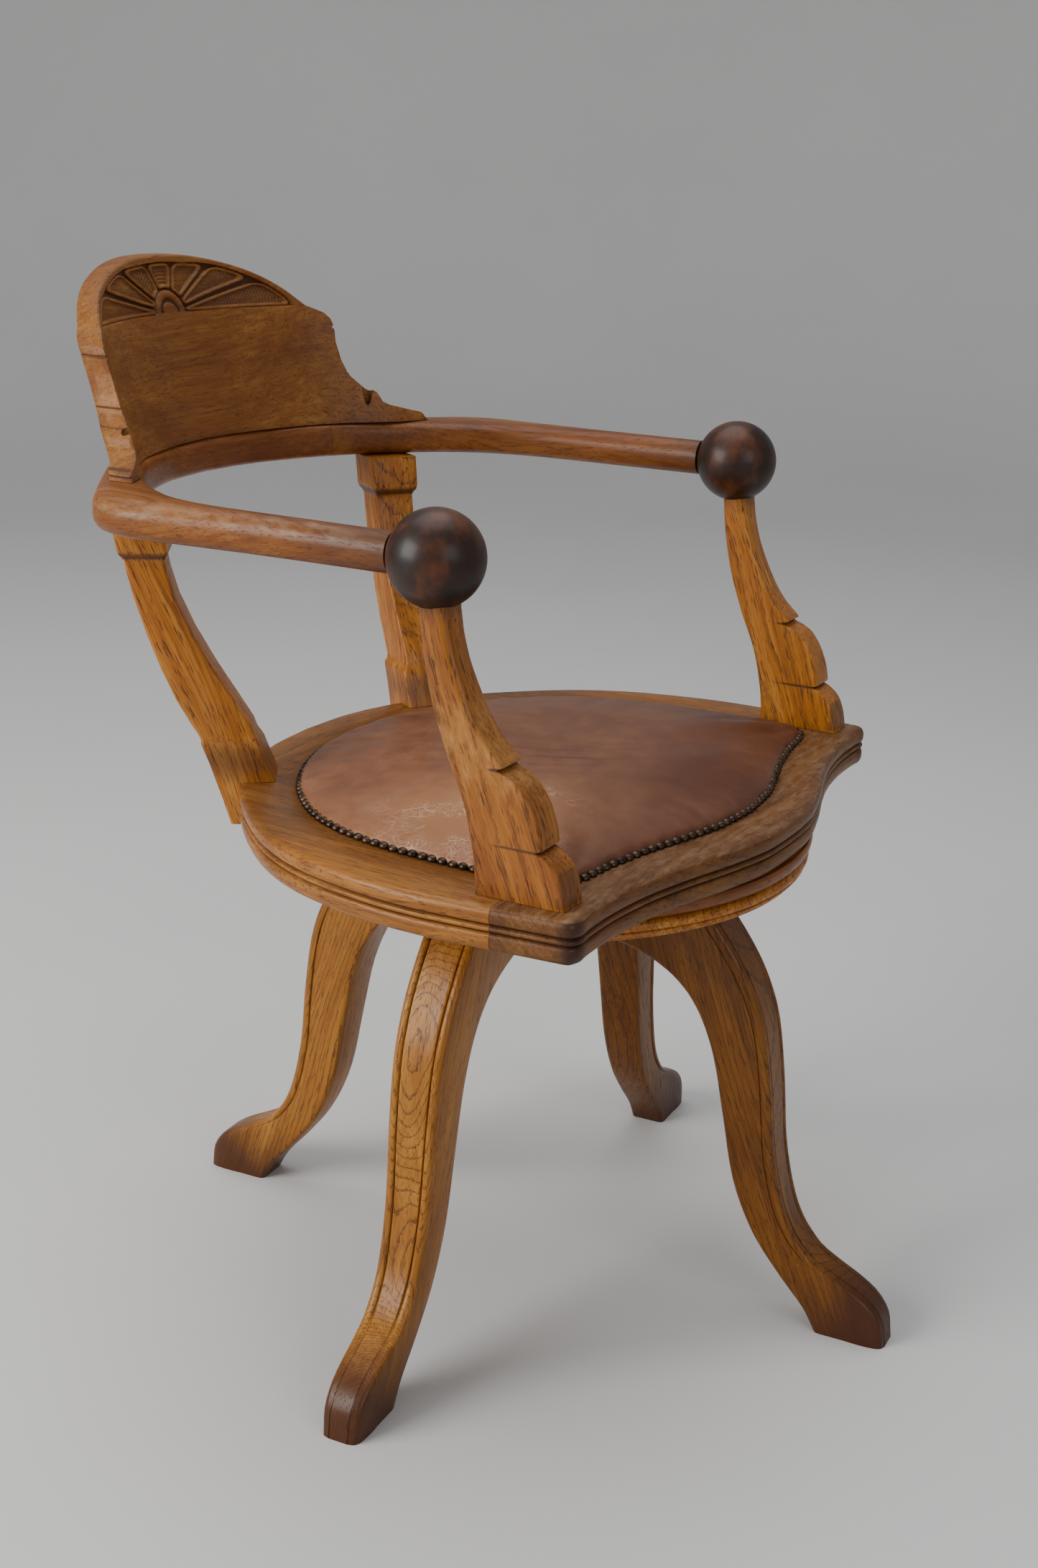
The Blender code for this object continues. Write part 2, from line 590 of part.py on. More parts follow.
def make_arms(seat):
    """Round at the ball, the arm widens and flattens towards its joint with the bow."""
    stations = [(Vector(a), Vector(b), s) for a, b, s in BOW_STATIONS]
    for side, name in ((1, "left"), (-1, "right")):
        rings = []
        for inner, outer, square in stations[:BOW_JOINT + 1]:
            ring = bow_section(inner, outer, square)
            rings.append([(side * x, y, z) for x, y, z in ring])
        arm = add_piece("arm_" + name, loft(rings), "oak_brown", seat, smooth=True)
        peg = turned([(0, 5), (TENON_RADIUS, 5), (TENON_RADIUS, -17.5), (0, -17.5)], 12)
        peg.transform(Matrix.Rotation(math.radians(-90), 4, 'X'))
        peg = placed(peg, side * BALL_CENTRE[0], -15, (BOW_TOP + BOW_BOTTOM) / 2)
        combine(arm, add_cutter("arm_tenon_" + name, peg), 'UNION')
        drill(arm, "arm_pilot_" + name, (side * PANEL_SCREW[0], PANEL_SCREW[1]), 634, 660, 2.3)


def make_bow(seat):
    """Middle of the bow, between the two arms and one gap from each."""
    half = list(BOW_STATIONS[BOW_JOINT:])
    inner, outer, square = half[0]
    step = (Vector(half[1][0]) - Vector(inner)).normalized() * GAP
    half[0] = ((inner[0] + step.x, inner[1] + step.y), (outer[0] + step.x, outer[1] + step.y), square)
    rings = [bow_section(a, b, s) for a, b, s in half]
    rings += [[(-x, y, z) for x, y, z in ring] for ring in reversed(rings[:-1])]
    add_piece("bow_back", loft(rings), "oak_brown", seat, smooth=True)


# ---------------------------------------------------------------- back
def panel_outline():
    half = (smooth_path(PANEL_ARCH) + smooth_path(PANEL_SHOULDER) + smooth_path(PANEL_COVE)
            + smooth_path(PANEL_FOOT) + smooth_path(PANEL_TIP))
    return half + [(-x, z) for x, z in reversed(half[1:])]


def panel_plan():
    """Closed plan of the curved board: the inner face out and back along the outer face."""
    half = smooth_path(PANEL_PLAN)
    inner = [(-x, y) for x, y in reversed(half[1:])] + half
    outer = []
    last = len(inner) - 1
    for i, (x, y) in enumerate(inner):
        along = Vector(inner[min(i + 1, last)]) - Vector(inner[max(i - 1, 0)])
        along.normalize()
        outer.append((x - along.y * PANEL_THICK, y + along.x * PANEL_THICK))
    return inner + outer[::-1]


def make_panel(seat):
    """Curved, leaning board, sawn to its arched and stepped outline."""
    plan = panel_plan()
    rings = []
    for z in (PANEL_BOTTOM, 820.0):
        lean = PANEL_LEAN * (z - PANEL_BOTTOM)
        rings.append([(x, y + lean, z) for x, y in plan])
    panel = add_piece("back_panel", loft(rings), "oak_brown", seat)
    face = flat_outline(panel_outline(), 400)
    face.transform(Matrix.Rotation(math.radians(90), 4, 'X'))
    combine(panel, add_cutter("panel_outline", placed(face, 0, 300)), 'INTERSECT')
    for side, name in ((1, "left"), (-1, "right")):
        x, y = side * PANEL_SCREW[0], PANEL_SCREW[1]
        drill(panel, "panel_sink_" + name, (x, y), PANEL_SCREW_SEAT, 700, 5.0)
        drill(panel, "panel_shank_" + name, (x, y), 650, 670, 2.3)
        make_screw("panel_screw_" + name, (x, y), PANEL_SCREW_SEAT + 2.6, 635, seat, 4.5, 1.9)


def make_rear_posts(seat):
    """Sawn posts with a block under the bow and a collar over a foot that laps the rim."""
    outline = (smooth_path(REAR_POST_BACK) + smooth_path(REAR_POST_BACK_SHAFT) + REAR_POST_BLOCK
               + smooth_path(REAR_POST_FRONT_SHAFT) + REAR_POST_COLLAR
               + [(REAR_LAP, 420.3), (REAR_LAP, 386)])
    for side, name in ((1, "left"), (-1, "right")):
        mesh = upright_board(outline, REAR_POST_WIDTH, 0.0)
        for vert in mesh.vertices:
            if REAR_SHAFT_LOW * MM < vert.co.z < REAR_SHAFT_HIGH * MM:
                vert.co.y *= REAR_SHAFT_WIDTH / REAR_POST_WIDTH
        mesh.transform(Matrix.Translation((0, -REAR_POST_OFFSET * MM, 0)))
        mesh.transform(Matrix.Rotation(math.radians(REAR_POST_ANGLE), 4, 'Z'))
        if side < 0:
            mesh.transform(Matrix.Scale(-1, 4, (1, 0, 0)))
            mesh.flip_normals()
        add_piece("rear_post_" + name, mesh, "oak_honey", seat)


# ---------------------------------------------------------------- the chair
def build_chair():
    seat = bpy.data.objects.new("seat_swivel", None)
    seat.location = (0, 0, DISC_TOP * MM)
    CHAIR.objects.link(seat)
    make_legs()
    make_hub()
    make_disc()
    make_socket()
    make_swivel(seat)
    make_drum(seat)
    make_rim(seat)
    make_seat(seat)
    make_arm_posts(seat)
    make_balls(seat)
    make_arms(seat)
    make_bow(seat)
    make_panel(seat)
    make_rear_posts(seat)


build_chair()
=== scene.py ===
"""Oak revolving desk chair: the finished surfaces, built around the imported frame.

Outlines are in millimetres in the frame's own axes: +Z up, the swivel axis on Z, the sitter facing -Y
with their left at +X. Every mesh is made in those millimetres and scaled to metres as it is built.
"""
import math

import bmesh
import bpy
import numpy as np
from mathutils import Matrix, Vector, noise


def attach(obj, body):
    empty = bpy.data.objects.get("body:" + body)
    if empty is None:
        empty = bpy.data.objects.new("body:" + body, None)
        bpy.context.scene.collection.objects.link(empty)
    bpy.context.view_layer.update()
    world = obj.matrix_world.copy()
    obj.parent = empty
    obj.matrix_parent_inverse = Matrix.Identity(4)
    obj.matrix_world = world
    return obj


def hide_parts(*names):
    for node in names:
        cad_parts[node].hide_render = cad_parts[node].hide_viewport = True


MM = 0.001
GAP = 0.3
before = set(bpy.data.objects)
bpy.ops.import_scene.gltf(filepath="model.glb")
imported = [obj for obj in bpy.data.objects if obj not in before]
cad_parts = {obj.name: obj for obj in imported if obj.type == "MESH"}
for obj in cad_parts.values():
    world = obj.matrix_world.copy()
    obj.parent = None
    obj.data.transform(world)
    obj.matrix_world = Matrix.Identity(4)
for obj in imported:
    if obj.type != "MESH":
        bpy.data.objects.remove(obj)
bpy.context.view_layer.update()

# ---- driving dimensions, millimetres
BASE_TURN = 2.8
LEG_TOP_WIDTH = 44.0
LEG_FOOT_WIDTH = 33.0
LEG_TAPER_TOP = 300.0
DISC_BOTTOM = 360.0
DISC_TOP = 375.0
DRUM_TOP = 387.7
DRUM_RADIUS = 213.0
DRUM_INNER = 178.0
RIM_BOTTOM = 388.0
RIM_TOP = 420.0
PAD_BASE = 416.5
PAD_CROWN = 444.0
FRONT_JOINT_Y = -110.0
ARM_POST_IN = 231.5
ARM_POST_OUT = 258.5
BALL_CENTRE = (244.5, -47.7, 639.5)
BALL_RADIUS = 33.3
BALL_FOOT = 608.0
BALL_FIT = 0.2
BOW_BOTTOM = 625.0
BOW_TOP = 653.5
BOW_JOINT = 12
BOW_STEPS = 6
REAR_POST_ANGLE = 57.0
REAR_POST_OFFSET = 4.0
REAR_POST_EASE = 2.6
PANEL_LEAN = 0.335
PANEL_THICK = 20.0
PANEL_BOTTOM = BOW_TOP + GAP
FAN_BASE = 752.0
NAIL_PITCH = 8.7
NAIL_SIDES = 14
# How steeply the leather rises from its nailed edge: 1 as the cloth leaves it, less is fuller.
PAD_FULLNESS = 0.62
PAD_TOP = PAD_CROWN - 0.4
# Where the soft creases across the leather gather, and the direction they run.
CREASE_CENTRE = (-14, -22)
CREASE_LINE = (0.42, -0.91)
# Each crease: place across the run, half-width, depth, shift along the run and reach.
CREASES = [(-46, 6.0, 1.1, 12, 48), (-26, 5.4, 1.7, -6, 60), (-6, 5.8, 1.9, 8, 66), (14, 5.4, 1.6, -4, 55),
           (35, 6.2, 1.1, 14, 48)]
# The cloth run: its frames, its voxels and the furthest it may carry a point.
CLOTH_FRAMES = 20
CLOTH_VOXEL = 4.5
CLOTH_REACH = 6.0

# ---- outlines, millimetres
# Leg in its own upright plane: distance from the axis, height.
LEG_FRONT = [(132, 359.7), (152, 338), (172, 313), (190, 284), (203, 249), (211, 198), (217, 142),
             (230, 93), (249, 65), (268, 53), (287, 44), (302, 34), (312, 20), (315, 0)]
LEG_BACK = [(32.3, 302), (54, 302), (86, 298), (120, 284), (144, 261), (161, 223), (172, 172),
            (183, 118), (201, 76), (224, 45), (247, 19), (258, 0)]

# The straight root of the leg under the disc, above and below, and where the curved back takes over.
LEG_ROOT_FRONT = [(32.3, 359.7), (60, 359.7), (96, 359.7)]
LEG_ROOT_BACK = [(32.3, 302), (46, 302), (60, 301.8)]
LEG_ROOT_END = 74.0

# Left-hand half of the rim and of the leather in plan, from the middle of the front to the back.
RIM_FRONT = [(0, -213.5), (25, -212.8), (50, -210), (88, -200.5), (130, -187.5), (170, -177.5),
             (212, -172), (245, -171.2), (260, -172.2), (268, -169.8)]
RIM_SIDE = [(268, -169.8), (271.6, -165), (273, -152), (274.5, -130), (277.5, -92), (279, -50),
            (275, -8), (262, 46), (241, 90), (210, 130), (163, 174), (110, 206), (56, 223), (0, 228)]
PAD_FRONT = [(0, -178), (46, -173.5), (90, -162), (126, -151.5), (166, -143), (202, -138),
             (217, -131), (222.5, -116)]
PAD_SIDE = [(222.5, -116), (222.5, -64), (220.5, -22), (215, 19), (206, 51), (191, 82), (168, 111),
            (137, 138), (94, 163), (48, 178), (0, 183)]
# The rim's moulded edge from its top to its underside: inset from the outline, height.
RIM_MOULD = [(5.5, 420), (3.4, 419.5), (1.7, 418.4), (0.6, 416.8), (0.0, 414.6), (0.0, 411.6),
             (0.4, 409.6), (1.3, 408.5), (2.7, 408.0), (3.3, 407.3), (2.7, 406.7), (1.5, 406.4),
             (0.7, 405.6), (0.4, 404.7), (0.7, 403.8), (1.5, 403.0), (2.8, 402.7), (3.4, 402.0),
             (2.8, 401.4), (1.6, 401.1), (0.8, 400.0), (0.4, 397.6), (0.5, 394.6), (1.2, 392.0),
             (2.6, 389.8), (4.8, 388.5), (8.0, 388.0)]
RIM_GROOVES = (407.3, 402.0)

# Front arm post: y, height. Up the rear edge, then down the hollow and the two lobes in front.
ARM_POST_REAR = [(-88.5, 420.3), (-86, 448), (-78, 482), (-65, 513), (-53, 545), (-45, 578),
                 (-41.5, 608)]
ARM_POST_HOLLOW = [(-63, 608), (-66, 589), (-73, 566), (-84, 541), (-95, 524), (-107.5, 511.6)]
ARM_POST_NOTCH = [(-107.8, 510.6), (-107, 509.9), (-104.2, 508.9), (-104, 508.1)]
ARM_POST_LOBE_1 = [(-106, 506.8), (-113, 504.2), (-121.5, 498.5), (-130, 486.5), (-135.8, 472), (-138, 461)]
ARM_POST_QUIRK = [(-137.8, 458.8), (-136.4, 457.9), (-134.4, 457.3), (-134.3, 456.7)]
ARM_POST_LOBE_2 = [(-137, 455.6), (-141.5, 453.2), (-149, 446), (-154, 434), (-156.5, 420.3)]

# Rear post from foot to bow: height, front and rear distance along its plane, width.
REAR_POST = [(386, 222, 243, 43), (404, 222, 248.5, 43), (420.1, 222, 254, 43), (420.4, 208, 254, 43),
             (434, 213.5, 258.5, 43), (447, 218.5, 263.5, 43), (449.5, 220, 264.5, 42.4),
             (453, 222, 265, 37.5), (456, 223.5, 266.5, 35.4), (463, 226, 271, 35), (484, 239, 283, 35),
             (508, 254, 293.5, 35), (535, 269, 303.5, 35), (562, 281, 312, 35), (582, 286.8, 317, 35),
             (591, 288.5, 318.5, 35), (594, 287.5, 320.5, 37), (596.5, 286, 322.4, 41),
             (600, 286.2, 323.4, 43), (612, 288, 325.6, 43), (624.7, 290, 328, 43)]

# Arm bow in plan: inner point, outer point, how square the section is.
BOW_STATIONS = [
    ((231.8, -15), (257.2, -15), 2.0), ((231.3, 20), (257.5, 20), 2.0),
    ((230.5, 60), (258, 60), 2.1), ((229.5, 100), (259.5, 100), 2.2),
    ((227, 137), (262, 139), 2.4), ((221, 166), (265, 170), 2.7),
    ((212, 189), (266.5, 197.5), 3.0), ((201, 208), (258.5, 221), 3.2),
    ((190, 225), (242, 240), 3.3), ((178, 240), (220.5, 256), 3.4),
    ((165, 254), (197, 273), 3.4), ((149, 268), (171, 291), 3.4),
    ((127, 283.5), (141, 310), 4.2), ((98, 298), (108, 326.5), 4.5),
    ((52, 314), (57, 343.5), 4.5), ((0, 320), (0, 350), 4.5)]

# Back panel: inner face in plan where it meets the bow, and half-width against height.
PANEL_PLAN = [(0, 321), (42, 317), (78, 308), (115, 294.5), (146, 275), (170, 253), (188, 241),
              (210, 231)]
PANEL_SIDE = [(653.8, 206), (656, 204.5), (656.6, 203.4), (657.3, 203.6), (659.4, 202.6), (660.6, 201.2),
              (661.4, 198.2), (664, 189), (668, 176), (671, 171.5), (679, 169), (683, 164), (685, 160),
              (693, 154.5), (696, 153.6), (696.8, 152.9), (697.6, 153.2), (706, 151.5), (722, 151),
              (731, 152.3), (732.6, 152.4), (733.4, 151.2), (734.4, 151.2), (735.2, 152.4), (737, 152.3),
              (741, 151.7), (746, 148.5), (749, 143), (752, 137)]
PANEL_LINES = (656.8, 661, 684, 697, 734, 751)
PANEL_HOLE = (163, 271, 667)
PANEL_HOLE_RADIUS = 4.8
PANEL_EASE = 1.6
# The panel's edge from its inner face to its outer: share of the thickness, inset of the eased corner.
PANEL_EDGE = [(0.05, 0.45), (0.14, 0.0), (0.32, 0.0), (0.5, 0.0), (0.68, 0.0), (0.86, 0.0), (0.95, 0.45)]
PANEL_ARCH = [(0, 798), (34, 796.5), (68, 790.5), (98, 781), (120, 768.5), (137, 752)]
# Carved fan: the border it stops at, and the tips of the rays between its petals.
FAN_BORDER = [(0, 792.5), (25, 791.5), (56, 789), (83, 782), (107, 771.5), (122, 760), (127, 752)]
FAN_RAYS = [(15, 788), (55, 787), (98, 775)]
FAN_GROUND = 3.6
FAN_PETAL_START = 20.0
FAN_FLUTE_PITCH = 2.9
FAN_HUB = 19.5
FAN_RING = 15.2
FAN_RING_HALF = 3.4
# A nail's head from its edge to its crown: radius, height.
NAIL_HEAD = [(4.2, -1.2), (4.3, 0.0), (3.95, 1.0), (3.1, 1.9), (2.0, 2.45), (0.8, 2.7)]


# ---- shape helpers
def smooth_path(points, per_span=4):
    """Points along a Catmull-Rom curve through the given points, ends included."""
    pts = [Vector(p) for p in points]
    ends = [pts[0] * 2 - pts[1]] + pts + [pts[-1] * 2 - pts[-2]]
    path = []
    for i in range(1, len(ends) - 2):
        a, b, c, d = ends[i - 1:i + 3]
        for k in range(per_span):
            t = k / per_span
            path.append(0.5 * (2 * b + (c - a) * t + (2 * a - 5 * b + 4 * c - d) * t ** 2
                               + (3 * b - a - 3 * c + d) * t ** 3))
    path.append(pts[-1])
    return [tuple(p) for p in path]


def resample(path, count):
    """The same path with its points evenly spaced."""
    pts = np.array(path, float)
    steps = np.r_[0, np.cumsum(np.linalg.norm(np.diff(pts, axis=0), axis=1))]
    at = np.linspace(0, steps[-1], count)
    return np.stack([np.interp(at, steps, pts[:, k]) for k in range(pts.shape[1])], 1)


def clipped(path, keep):
    """The stretch of a path where keep(point) is positive, cut exactly where it crosses zero."""
    kept = []
    for a, b in zip(path, path[1:]):
        fa, fb = keep(a), keep(b)
        if fa > 0:
            kept.append(tuple(a))
        if fa * fb < 0:
            t = fa / (fa - fb)
            kept.append(tuple(np.array(a) + (np.array(b) - np.array(a)) * t))
    if keep(path[-1]) > 0:
        kept.append(tuple(path[-1]))
    return kept


def inward(path):
    """Unit normals of an open plan path, pointing towards the swivel axis."""
    pts = np.array(path, float)
    along = np.gradient(pts, axis=0)
    along /= np.linalg.norm(along, axis=1, keepdims=True)
    normal = np.stack([-along[:, 1], along[:, 0]], 1)
    middle = len(pts) // 2
    return -normal if np.dot(pts[middle], normal[middle]) > 0 else normal


def between(value, low, high):
    """How far value has gone from low to high, held between 0 and 1."""
    return max(0.0, min(1.0, (value - low) / (high - low)))


def bell(value, middle, spread):
    """1 at the middle, falling away smoothly over the spread."""
    return math.exp(-((value - middle) / spread) ** 2)


def quarter(cx, cy, radius, start, steps):
    """Points of a quarter turn round (cx, cy), from an angle in degrees."""
    turns = [math.radians(start + 90 * k / steps) for k in range(steps + 1)]
    return [(cx + radius * math.cos(turn), cy + radius * math.sin(turn)) for turn in turns]


def add_object(name, data):
    obj = bpy.data.objects.new(name, data)
    bpy.context.scene.collection.objects.link(obj)
    return obj


def mesh_from(bm, name):
    mesh = bpy.data.meshes.new(name)
    bm.to_mesh(mesh)
    bm.free()
    return mesh


def loft(bm, rings, closed=False):
    """Faces through rings with equal numbers of points, in millimetres; closed joins last to first."""
    rows = [[bm.verts.new(Vector(p) * MM) for p in ring] for ring in rings]
    pairs = list(zip(rows, rows[1:]))
    if closed:
        pairs.append((rows[-1], rows[0]))
    for low, high in pairs:
        for i in range(len(low)):
            j = (i + 1) % len(low)
            bm.faces.new((low[i], low[j], high[j], high[i]))
    if not closed:
        bm.faces.new(list(reversed(rows[0])))
        bm.faces.new(rows[-1])


def skin(rings, closed=False):
    """Solid through rings of points."""
    bm = bmesh.new()
    loft(bm, rings, closed)
    bmesh.ops.remove_doubles(bm, verts=bm.verts, dist=0.00001)
    bmesh.ops.recalc_face_normals(bm, faces=bm.faces)
    return mesh_from(bm, "skin")


def turned(profile, steps=128):
    """A closed profile of (radius, height) turned about Z."""
    rings = []
    for k in range(steps):
        a = 2 * math.pi * k / steps
        rings.append([(r * math.cos(a), r * math.sin(a), z) for r, z in profile])
    return skin(rings, closed=True)


def mirrored(mesh):
    copy = mesh.copy()
    copy.transform(Matrix.Scale(-1, 4, (1, 0, 0)))
    copy.flip_normals()
    return copy


def set_all(thing, settings):
    for key, value in settings.items():
        setattr(thing, key, value)


def coords(mesh):
    """Every point of a mesh as rows of x, y and z, in metres."""
    flat = np.zeros(len(mesh.vertices) * 3, np.float32)
    mesh.vertices.foreach_get("co", flat)
    return flat.reshape(-1, 3)


def set_grain(mesh, along, shift):
    """Store each point's place along and across the board the piece was sawn from."""
    axis = Vector(along).normalized()
    side = axis.cross(Vector((0.31, 0.17, 0.93))).normalized()
    basis = np.array([axis, side, axis.cross(side)])
    grain = coords(mesh) @ basis.T + np.array(shift)
    attribute = mesh.attributes.new("grain", 'FLOAT_VECTOR', 'POINT')
    attribute.data.foreach_set("vector", grain.astype(np.float32).ravel())


def set_mark(mesh, name, rule):
    """Store a 0 to 1 mark on each point, such as soiling with painted shade, or rubbing, from rule(x, y, z)
    in millimetres.
    """
    attribute = mesh.attributes.new(name, 'FLOAT', 'POINT')
    for vert, item in zip(mesh.vertices, attribute.data):
        item.value = min(1.0, max(0.0, rule(*(vert.co / MM))))


def finish_piece(name, mesh, material, body, slot, nodes=(), along=(0, 0, 1), shift=(0, 0, 0),
                 wear=None, rubbed=None, sharp=35):
    """Make the object, give it its material and grain, and tie it to the frame."""
    mesh.name = name
    mesh.materials.clear()
    mesh.materials.append(material)
    set_grain(mesh, along, shift)
    if wear is not None:
        set_mark(mesh, "wear", wear)
    if rubbed is not None:
        set_mark(mesh, "rubbed", rubbed)
    mesh.shade_smooth()
    mesh.set_sharp_from_angle(angle=math.radians(sharp))
    obj = add_object(name, mesh)
    if nodes:
        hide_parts(*nodes)
    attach(obj, body)


def finish_pair(name, mesh, materials, slot, along, shifts, **marks):
    """The same piece on both sides of the seat, made on the left and mirrored to the right."""
    for side, half, material, shift in zip((1, -1), ("left", "right"), materials, shifts):
        piece = mesh.copy() if side > 0 else mirrored(mesh)
        node = "%s_%s" % (name, half)
        finish_piece(node + "_wood", piece, material, "seat", slot, [node],
                     (side * along[0], along[1], along[2]), shift, **marks)


# ---- material helpers
class Nodes:
    """Short calls for building one material's node tree."""

    def __init__(self, name):
        self.material = bpy.data.materials.new(name)
        self.material.use_nodes = True
        self.tree = self.material.node_tree
        self.shader = self.tree.nodes["Principled BSDF"]

    def put(self, socket, value):
        """Link a socket, or set it to a plain value; a colour gets its alpha."""
        if isinstance(value, bpy.types.NodeSocket):
            self.tree.links.new(value, socket)
        elif socket.type == 'RGBA':
            socket.default_value = (*value, 1.0)
        else:
            socket.default_value = value

    def add(self, kind, inputs=None, **settings):
        node = self.tree.nodes.new(kind)
        set_all(node, settings)
        for key, value in (inputs or {}).items():
            self.put(node.inputs[key], value)
        return node

    def grain(self):
        return self.add("ShaderNodeAttribute", attribute_name="grain").outputs["Vector"]

    def mark(self, name):
        return self.add("ShaderNodeAttribute", attribute_name=name).outputs["Fac"]

    def scaled(self, vector, factors, shift=(0, 0, 0)):
        inputs = {"Scale": factors, "Location": shift, "Vector": vector}
        return self.add("ShaderNodeMapping", inputs).outputs[0]

    def moved(self, vector, offset):
        return self.add("ShaderNodeVectorMath", {0: vector, 1: offset}, operation='ADD').outputs[0]

    def noise(self, vector, scale, detail=4.0, rough=0.55):
        inputs = {"Scale": scale, "Detail": detail, "Roughness": rough, "Vector": vector}
        return self.add("ShaderNodeTexNoise", inputs).outputs[0]

    def voronoi(self, vector, scale, feature='F1'):
        inputs = {"Scale": scale, "Vector": vector}
        return self.add("ShaderNodeTexVoronoi", inputs, feature=feature).outputs["Distance"]

    def ramp(self, value, stops):
        node = self.add("ShaderNodeValToRGB", {0: value})
        elements = node.color_ramp.elements
        while len(elements) < len(stops):
            elements.new(0.5)
        for element, (place, colour) in zip(elements, stops):
            element.position = place
            element.color = (*colour, 1.0)
        return node.outputs[0]

    def band(self, value, low, high):
        """0 below low, 1 above high; reversed when low is above high."""
        rising = low < high
        inputs = {"Value": value, "From Min": min(low, high), "From Max": max(low, high),
                  "To Min": 0.0 if rising else 1.0, "To Max": 1.0 if rising else 0.0}
        return self.add("ShaderNodeMapRange", inputs, interpolation_type='SMOOTHSTEP').outputs[0]

    def math(self, operation, a, b):
        return self.add("ShaderNodeMath", {0: a, 1: b}, operation=operation).outputs[0]

    def times(self, a, b):
        return self.math('MULTIPLY', a, b)

    def swing(self, value, middle, amount):
        """A value's distance from the middle, scaled."""
        return self.times(self.math('SUBTRACT', value, middle), amount)

    def mix(self, factor, a, b, blend='MIX'):
        inputs = {0: factor, 6: a, 7: b}
        return self.add("ShaderNodeMix", inputs, data_type='RGBA', blend_type=blend).outputs[2]

    def bump(self, height, strength, distance, normal=None):
        inputs = {"Strength": strength, "Distance": distance, "Height": height}
        if normal is not None:
            inputs["Normal"] = normal
        return self.add("ShaderNodeBump", inputs).outputs[0]

    def finish(self, colour, roughness, normal=None, coat=0.0, coat_roughness=0.2, specular=0.5):
        surface = {"Base Color": colour, "Roughness": roughness, "Coat Weight": coat,
                   "Coat Roughness": coat_roughness, "Specular IOR Level": specular}
        if normal is not None:
            surface["Normal"] = normal
        for key, value in surface.items():
            self.put(self.shader.inputs[key], value)
        return self.material


def make_oak(name, tones, dirt_and_shade, rub, ring_strength=0.5, pore_strength=0.6, gloss=0.36, coat=0.1, blotch=0.4,
             ring_rate=62.0):
    """Sawn oak: growth rings that arch where the board bends, fibre streaks, pores, soiling with painted
    shade, and rubbing.
    """
    pale, mid, dark, line = tones
    n = Nodes(name)
    grain = n.grain()
    sway = n.noise(n.scaled(grain, (2.2, 9, 9)), 1.0, 2.0)
    bend = n.swing(sway, 0.5, 0.05)
    bent = n.moved(grain, n.add("ShaderNodeCombineXYZ", {1: bend, 2: bend}).outputs[0])
    log = n.scaled(bent, (0.55, 1, 1), (0.0, 0.035, 0.022))
    inputs = {"Vector": log, "Scale": ring_rate, "Distortion": 1.6, "Detail": 2.0, "Detail Scale": 3.0}
    wave = n.add("ShaderNodeTexWave", inputs, wave_type='RINGS', rings_direction='X', wave_profile='SAW')
    ring = n.band(wave.outputs["Fac"], 0.74, 1.0)
    streak = n.noise(n.scaled(bent, (6, 210, 210)), 1.0, 5.0, 0.68)
    broad = n.noise(n.scaled(bent, (3, 36, 36)), 1.0, 3.0)
    patch = n.noise(n.scaled(grain, (9, 14, 14)), 1.0, 3.0)
    dash = n.noise(n.scaled(bent, (58, 820, 820)), 1.0, 2.0, 0.5)
    pores = n.band(n.math('ADD', dash, n.times(ring, 0.05)), 0.575, 0.66)
    base = n.ramp(n.mix(0.5, broad, streak), [(0.34, dark), (0.50, mid), (0.64, pale)])
    toned = n.mix(n.times(n.band(patch, 0.52, 0.74), blotch), base, dark)
    ringed = n.mix(n.times(ring, ring_strength), toned, line)
    pored = n.mix(n.times(pores, pore_strength), ringed, line)
    scuff = n.noise(n.scaled(grain, (60, 150, 150)), 1.0, 5.0, 0.7)
    rubbing = n.mark("rubbed")
    lifted = n.math('ADD', rubbing, n.swing(scuff, 0.5, 1.3))
    lifted = n.times(n.band(lifted, 0.35, 0.85), n.band(rubbing, 0.02, 0.35))
    rubbed = n.mix(n.times(lifted, 0.7), pored, rub)
    # This mark mixes in the dark colour: soiling at feet and handled places, painted shade in grooves,
    # recesses and under the disc.
    wear = n.mark("wear")
    edge = n.math('ADD', wear, n.swing(patch, 0.5, 0.6))
    dirt_and_shade_mix = n.times(n.band(edge, 0.1, 0.85), n.band(wear, 0.02, 0.3))
    colour = n.mix(n.times(dirt_and_shade_mix, 0.9), rubbed, dirt_and_shade)
    height = n.math('SUBTRACT', streak, n.times(pores, 0.8))
    normal = n.bump(height, 0.25, 0.0006)
    rough = n.math('ADD', gloss, n.swing(broad, 0.4, 0.35))
    rough = n.math('ADD', rough, n.times(pores, 0.15))
    return n.finish(colour, rough, normal, coat, 0.25, 0.24)


def make_polished(name):
    """Near-black polished wood with a reddish ground showing through in soft patches."""
    n = Nodes(name)
    grain = n.grain()
    patch = n.noise(n.scaled(grain, (20, 26, 26)), 1.0, 4.0, 0.6)
    fibre = n.noise(n.scaled(grain, (12, 240, 240)), 1.0, 4.0, 0.6)
    ground = n.ramp(patch, [(0.36, (0.010, 0.006, 0.004)), (0.52, (0.030, 0.010, 0.005)),
                            (0.68, (0.115, 0.035, 0.010))])
    dust = n.band(n.noise(grain, 420.0, 3.0, 0.7), 0.66, 0.76)
    colour = n.mix(n.times(dust, 0.25), n.mix(0.25, ground, fibre, 'MULTIPLY'), (0.16, 0.13, 0.11))
    rough = n.math('ADD', 0.36, n.times(patch, 0.16))
    normal = n.bump(n.noise(grain, 160.0, 3.0), 0.10, 0.0008)
    return n.finish(colour, rough, normal, 0.06, 0.16, 0.30)


